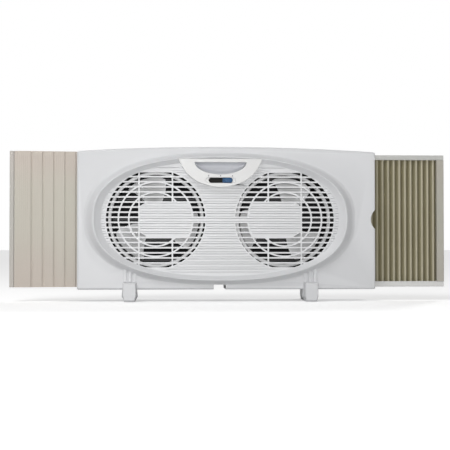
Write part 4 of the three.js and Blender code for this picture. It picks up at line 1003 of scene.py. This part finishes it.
slat_plastic = extruded("slat_plastic", (0.56, 0.50, 0.44), (0.55, 0.53, 0.455), 0.5)
for i, (right, body) in enumerate(zip(SLAT_EDGES, SLAT_BODIES)):
    left = -395.2 if i == 0 else SLAT_EDGES[i - 1] - 3.0
    front = SLAT_FRONT + SLAT_STEP * i
    back = front + SLAT_THICK
    face = []
    start = left + (1.4 if i == 0 else 4.6)
    if i == 0:
        face += [(left, front + 0.9), (start, front + 0.9), (start + 0.2, front)]
    else:
        face += [(left, front), (start - 0.2, front), (start, front + 0.28), (start + 0.7, front)]
    groove = start + LINE_PITCH
    while groove < right - 2.5:
        face += [(groove - 0.22, front), (groove, front + 0.16), (groove + 0.22, front)]
        groove += LINE_PITCH
    face += [(right - 0.7, front), (right - 0.2, front + 0.2), (right, front + 0.7)]
    profile = face + [(right, back + 0.5), (right - 1.2, back + 0.5), (right - 1.2, back),
                      (left, back)]
    slat = pushed("slat", profile, "Z", SLAT_LOW, SLAT_HIGH)
    alone(slat)
    bpy.ops.object.shade_smooth_by_angle(angle=math.radians(25))
    fit(slat, f"beige_slat_{i + 1}", slat_plastic, body, "slat_beige", f"slat_{i + 1}")

post_plastic = extruded("post_plastic", (0.52, 0.49, 0.45), (0.50, 0.49, 0.45), 0.5)
end_post = pushed(
    "post", [(-404.7, -16.5), (-404.7, -28.9), (-404.3, -29.9), (-403.3, -30.5), (-397.4, -30.5),
             (-396.8, -30.2), (-396.6, -29.6), (-396.6, -27.6), (-395.2, -27.6), (-395.2, -16.5)],
    "Z", SLAT_LOW, SLAT_HIGH)
soften(end_post, 0.5, 2, 40)
fit(end_post, "left_post", post_plastic, "left_panel_end", "slat_beige", "left_end_post")
painted("slat_guide", slat_plastic)

# ---- Right panel frame -----------------------------------------------------------------------
# Two extruded channel rails run in black tracks inside the casing and carry the end post
# between them. The lips of the rails keep the curtain's folds in line.
RAIL_LEFT, RAIL_RIGHT = 210.0, 442.3
RAIL_FRONT, RAIL_BACK = -16.0, -4.0
RAIL_WALL, RAIL_WEB = 1.6, 2.4
TOP_RAIL, BOTTOM_RAIL = (127.35, 117.75), (-131.45, -120.55)
POST_LEFT, POST_RIGHT = 428.3, 442.6

# Both rails are one plastic; the bottom rail's copy is painted paler than the top rail's, as
# painted light.
rail_plastics_painted_light = {
    "top": extruded("rail_plastic", (0.555, 0.555, 0.53), (0.55, 0.555, 0.53), 0.45),
    "bottom": extruded("painted_paler_rail_plastic", (0.72, 0.715, 0.70), (0.715, 0.715, 0.695), 0.45)}
for name, (outer, lip), way in (("top", TOP_RAIL, 1), ("bottom", BOTTOM_RAIL, -1)):
    front = [(RAIL_FRONT, outer - 0.8 * way), (RAIL_FRONT, lip + 2.2 * way),
             (RAIL_FRONT + 0.5, lip + 1.9 * way), (RAIL_FRONT, lip + 0.9 * way),
             (RAIL_FRONT, lip + 0.4 * way), (RAIL_FRONT + 0.5, lip)]
    profile = [(RAIL_BACK - 0.5, outer), (RAIL_FRONT + 0.5, outer)] + front + [
        (RAIL_FRONT + RAIL_WALL, lip), (RAIL_FRONT + RAIL_WALL, outer - RAIL_WEB * way),
        (RAIL_BACK - RAIL_WALL, outer - RAIL_WEB * way), (RAIL_BACK - RAIL_WALL, lip),
        (RAIL_BACK - 0.3, lip), (RAIL_BACK, lip + 0.4 * way), (RAIL_BACK, outer - 0.5 * way)]
    rail = pushed("rail", profile, "X", RAIL_LEFT, RAIL_RIGHT)
    alone(rail)
    bpy.ops.object.shade_smooth_by_angle(angle=math.radians(25))
    fit(rail, f"{name}_rail", rail_plastics_painted_light[name], "right_panel_frame", "rail_grey",
        f"right_rail_{name}")

right_post_plastic = extruded("right_post_plastic", (0.46, 0.435, 0.38), (0.46, 0.45, 0.39), 0.5)
right_post = pushed(
    "post", [(POST_LEFT, -2.5), (POST_LEFT, -17.2), (POST_LEFT + 0.3, -17.5),
             (POST_LEFT + 2.2, -17.5), (POST_LEFT + 3.0, -16.9), (POST_RIGHT - 1.6, -16.9),
             (POST_RIGHT - 0.6, -16.5), (POST_RIGHT, -15.4), (POST_RIGHT, -2.5)],
    "Z", BOTTOM_RAIL[1] + 0.15, TOP_RAIL[1] - 0.15)
for low, high in ((BOTTOM_RAIL[0] + RAIL_WEB + 0.1, BOTTOM_RAIL[1] + 1),
                  (TOP_RAIL[1] - 1, TOP_RAIL[0] - RAIL_WEB - 0.1)):
    carve(right_post, block("plug", (POST_LEFT + 0.1, RAIL_FRONT + RAIL_WALL + 0.1, low),
                            (RAIL_RIGHT, RAIL_BACK - RAIL_WALL - 0.1, high)), "UNION")
soften(right_post, 0.3, 2, 40)
fit(right_post, "right_post", right_post_plastic, "right_panel_frame", "post_grey",
    "right_end_post")
for node in ("rail_track_top", "rail_track_bottom", "curtain_anchor"):
    painted(node, black_plastic)

# ---- Pleated curtain -------------------------------------------------------------------------
# A thin cream sheet of coated fabric, pressed into fifteen upright pleats. Its inner end is
# clamped to an anchor in the casing and its outer end to the post, and its top and bottom run
# in the rails. Its valleys are painted darker than its crests: painted shade in the folds.
PLEATS = 15
CURTAIN_LEFT, CURTAIN_RIGHT = 260.05, 428.1
FOLD_FRONT, FOLD_BACK = -13.9, -6.3
CURTAIN_LOW, CURTAIN_HIGH = -128.65, 124.55
CURTAIN_THICK = 0.5
FACE_STEPS = 8
HEIGHT_STEPS = 26


def pleat_line():
    """The sheet's line seen from above: straight faces with a small round at every fold."""
    half = (CURTAIN_RIGHT - CURTAIN_LEFT) / (2 * PLEATS)
    deep = FOLD_BACK - FOLD_FRONT
    points = []
    for i in range(2 * PLEATS):
        for k in range(FACE_STEPS):
            t = k / FACE_STEPS
            eased = t - 0.035 * math.sin(2 * math.pi * t)
            s = 0.5 - 0.5 * math.cos(math.pi * t)
            mix = 0.72 * t + 0.28 * s
            y = FOLD_BACK - deep * mix if i % 2 == 0 else FOLD_FRONT + deep * mix
            points.append((CURTAIN_LEFT + half * (i + eased), y))
    points.append((CURTAIN_RIGHT, FOLD_BACK))
    return points


chance = random.Random(7)
sway = [(chance.uniform(-0.55, 0.55), chance.uniform(0, 6.28)) for _ in range(2 * PLEATS + 1)]
line = pleat_line()
alone()
bpy.ops.mesh.primitive_grid_add(x_subdivisions=len(line) - 1, y_subdivisions=HEIGHT_STEPS, size=2)
curtain = bpy.context.object


def drift(index, rise):
    """How far a fold wanders sideways at a height from 0 to 1."""
    size, phase = sway[min(index, 2 * PLEATS)]
    return size * math.sin(2.4 * rise * math.pi + phase)


for vertex in curtain.data.vertices:
    column = round((vertex.co.x + 1) / 2 * (len(line) - 1))
    rise = (vertex.co.y + 1) / 2
    x, y = line[column]
    fold = column / FACE_STEPS
    near = int(fold)
    part = fold - near
    free = math.sin(math.pi * rise) * math.sin(math.pi * min(1.0, fold / 2)) * math.sin(
        math.pi * min(1.0, (2 * PLEATS - fold) / 2))
    x += free * (drift(near, rise) * (1 - part) + drift(near + 1, rise) * part)
    vertex.co = (x, y, CURTAIN_LOW + (CURTAIN_HIGH - CURTAIN_LOW) * rise)
worked(curtain, "SOLIDIFY", thickness=CURTAIN_THICK, offset=0.0)
edit(curtain, turn_out)
alone(curtain)
bpy.ops.object.shade_smooth_by_angle(angle=math.radians(50))

cloth, cloth_shader, cloth_place = blank("coated_curtain")
weave = cloth_place.node("ShaderNodeTexNoise", None,
                         {"Vector": cloth_place, "Scale": 900.0, "Detail": 2.0})
patches = cloth_place.node("ShaderNodeTexNoise", None,
                           {"Vector": cloth_place, "Scale": 9.0, "Detail": 2.0})
depth = cloth_place.node("ShaderNodeSeparateXYZ", None, {0: cloth_place}, out=1)
# Painted shade: the sheet is dark olive in its back valleys and cream on its front crests, set by
# depth alone; the slow patches are its own tone.
ridge = ((-0.0082 - depth) * 260.0).clamped()
cloth_tone_and_painted_shade = (patches * 0.12 + ridge * 0.88).between((0.22, 0.195, 0.115), (0.64, 0.60, 0.46))
cloth_links = cloth.node_tree.links
cloth_links.new(cloth_tone_and_painted_shade.socket, cloth_shader.inputs["Base Color"])
cloth_links.new((weave * 0.2 + 0.5).socket, cloth_shader.inputs["Roughness"])
cloth_bump = weave.node("ShaderNodeBump", None,
                        {"Strength": 0.5, "Distance": 0.00005, "Height": weave})
cloth_links.new(cloth_bump.socket, cloth_shader.inputs["Normal"])
fit(curtain, "pleated_sheet", cloth, "right_panel_frame", "curtain_cream", "pleated_curtain")
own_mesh(curtain)
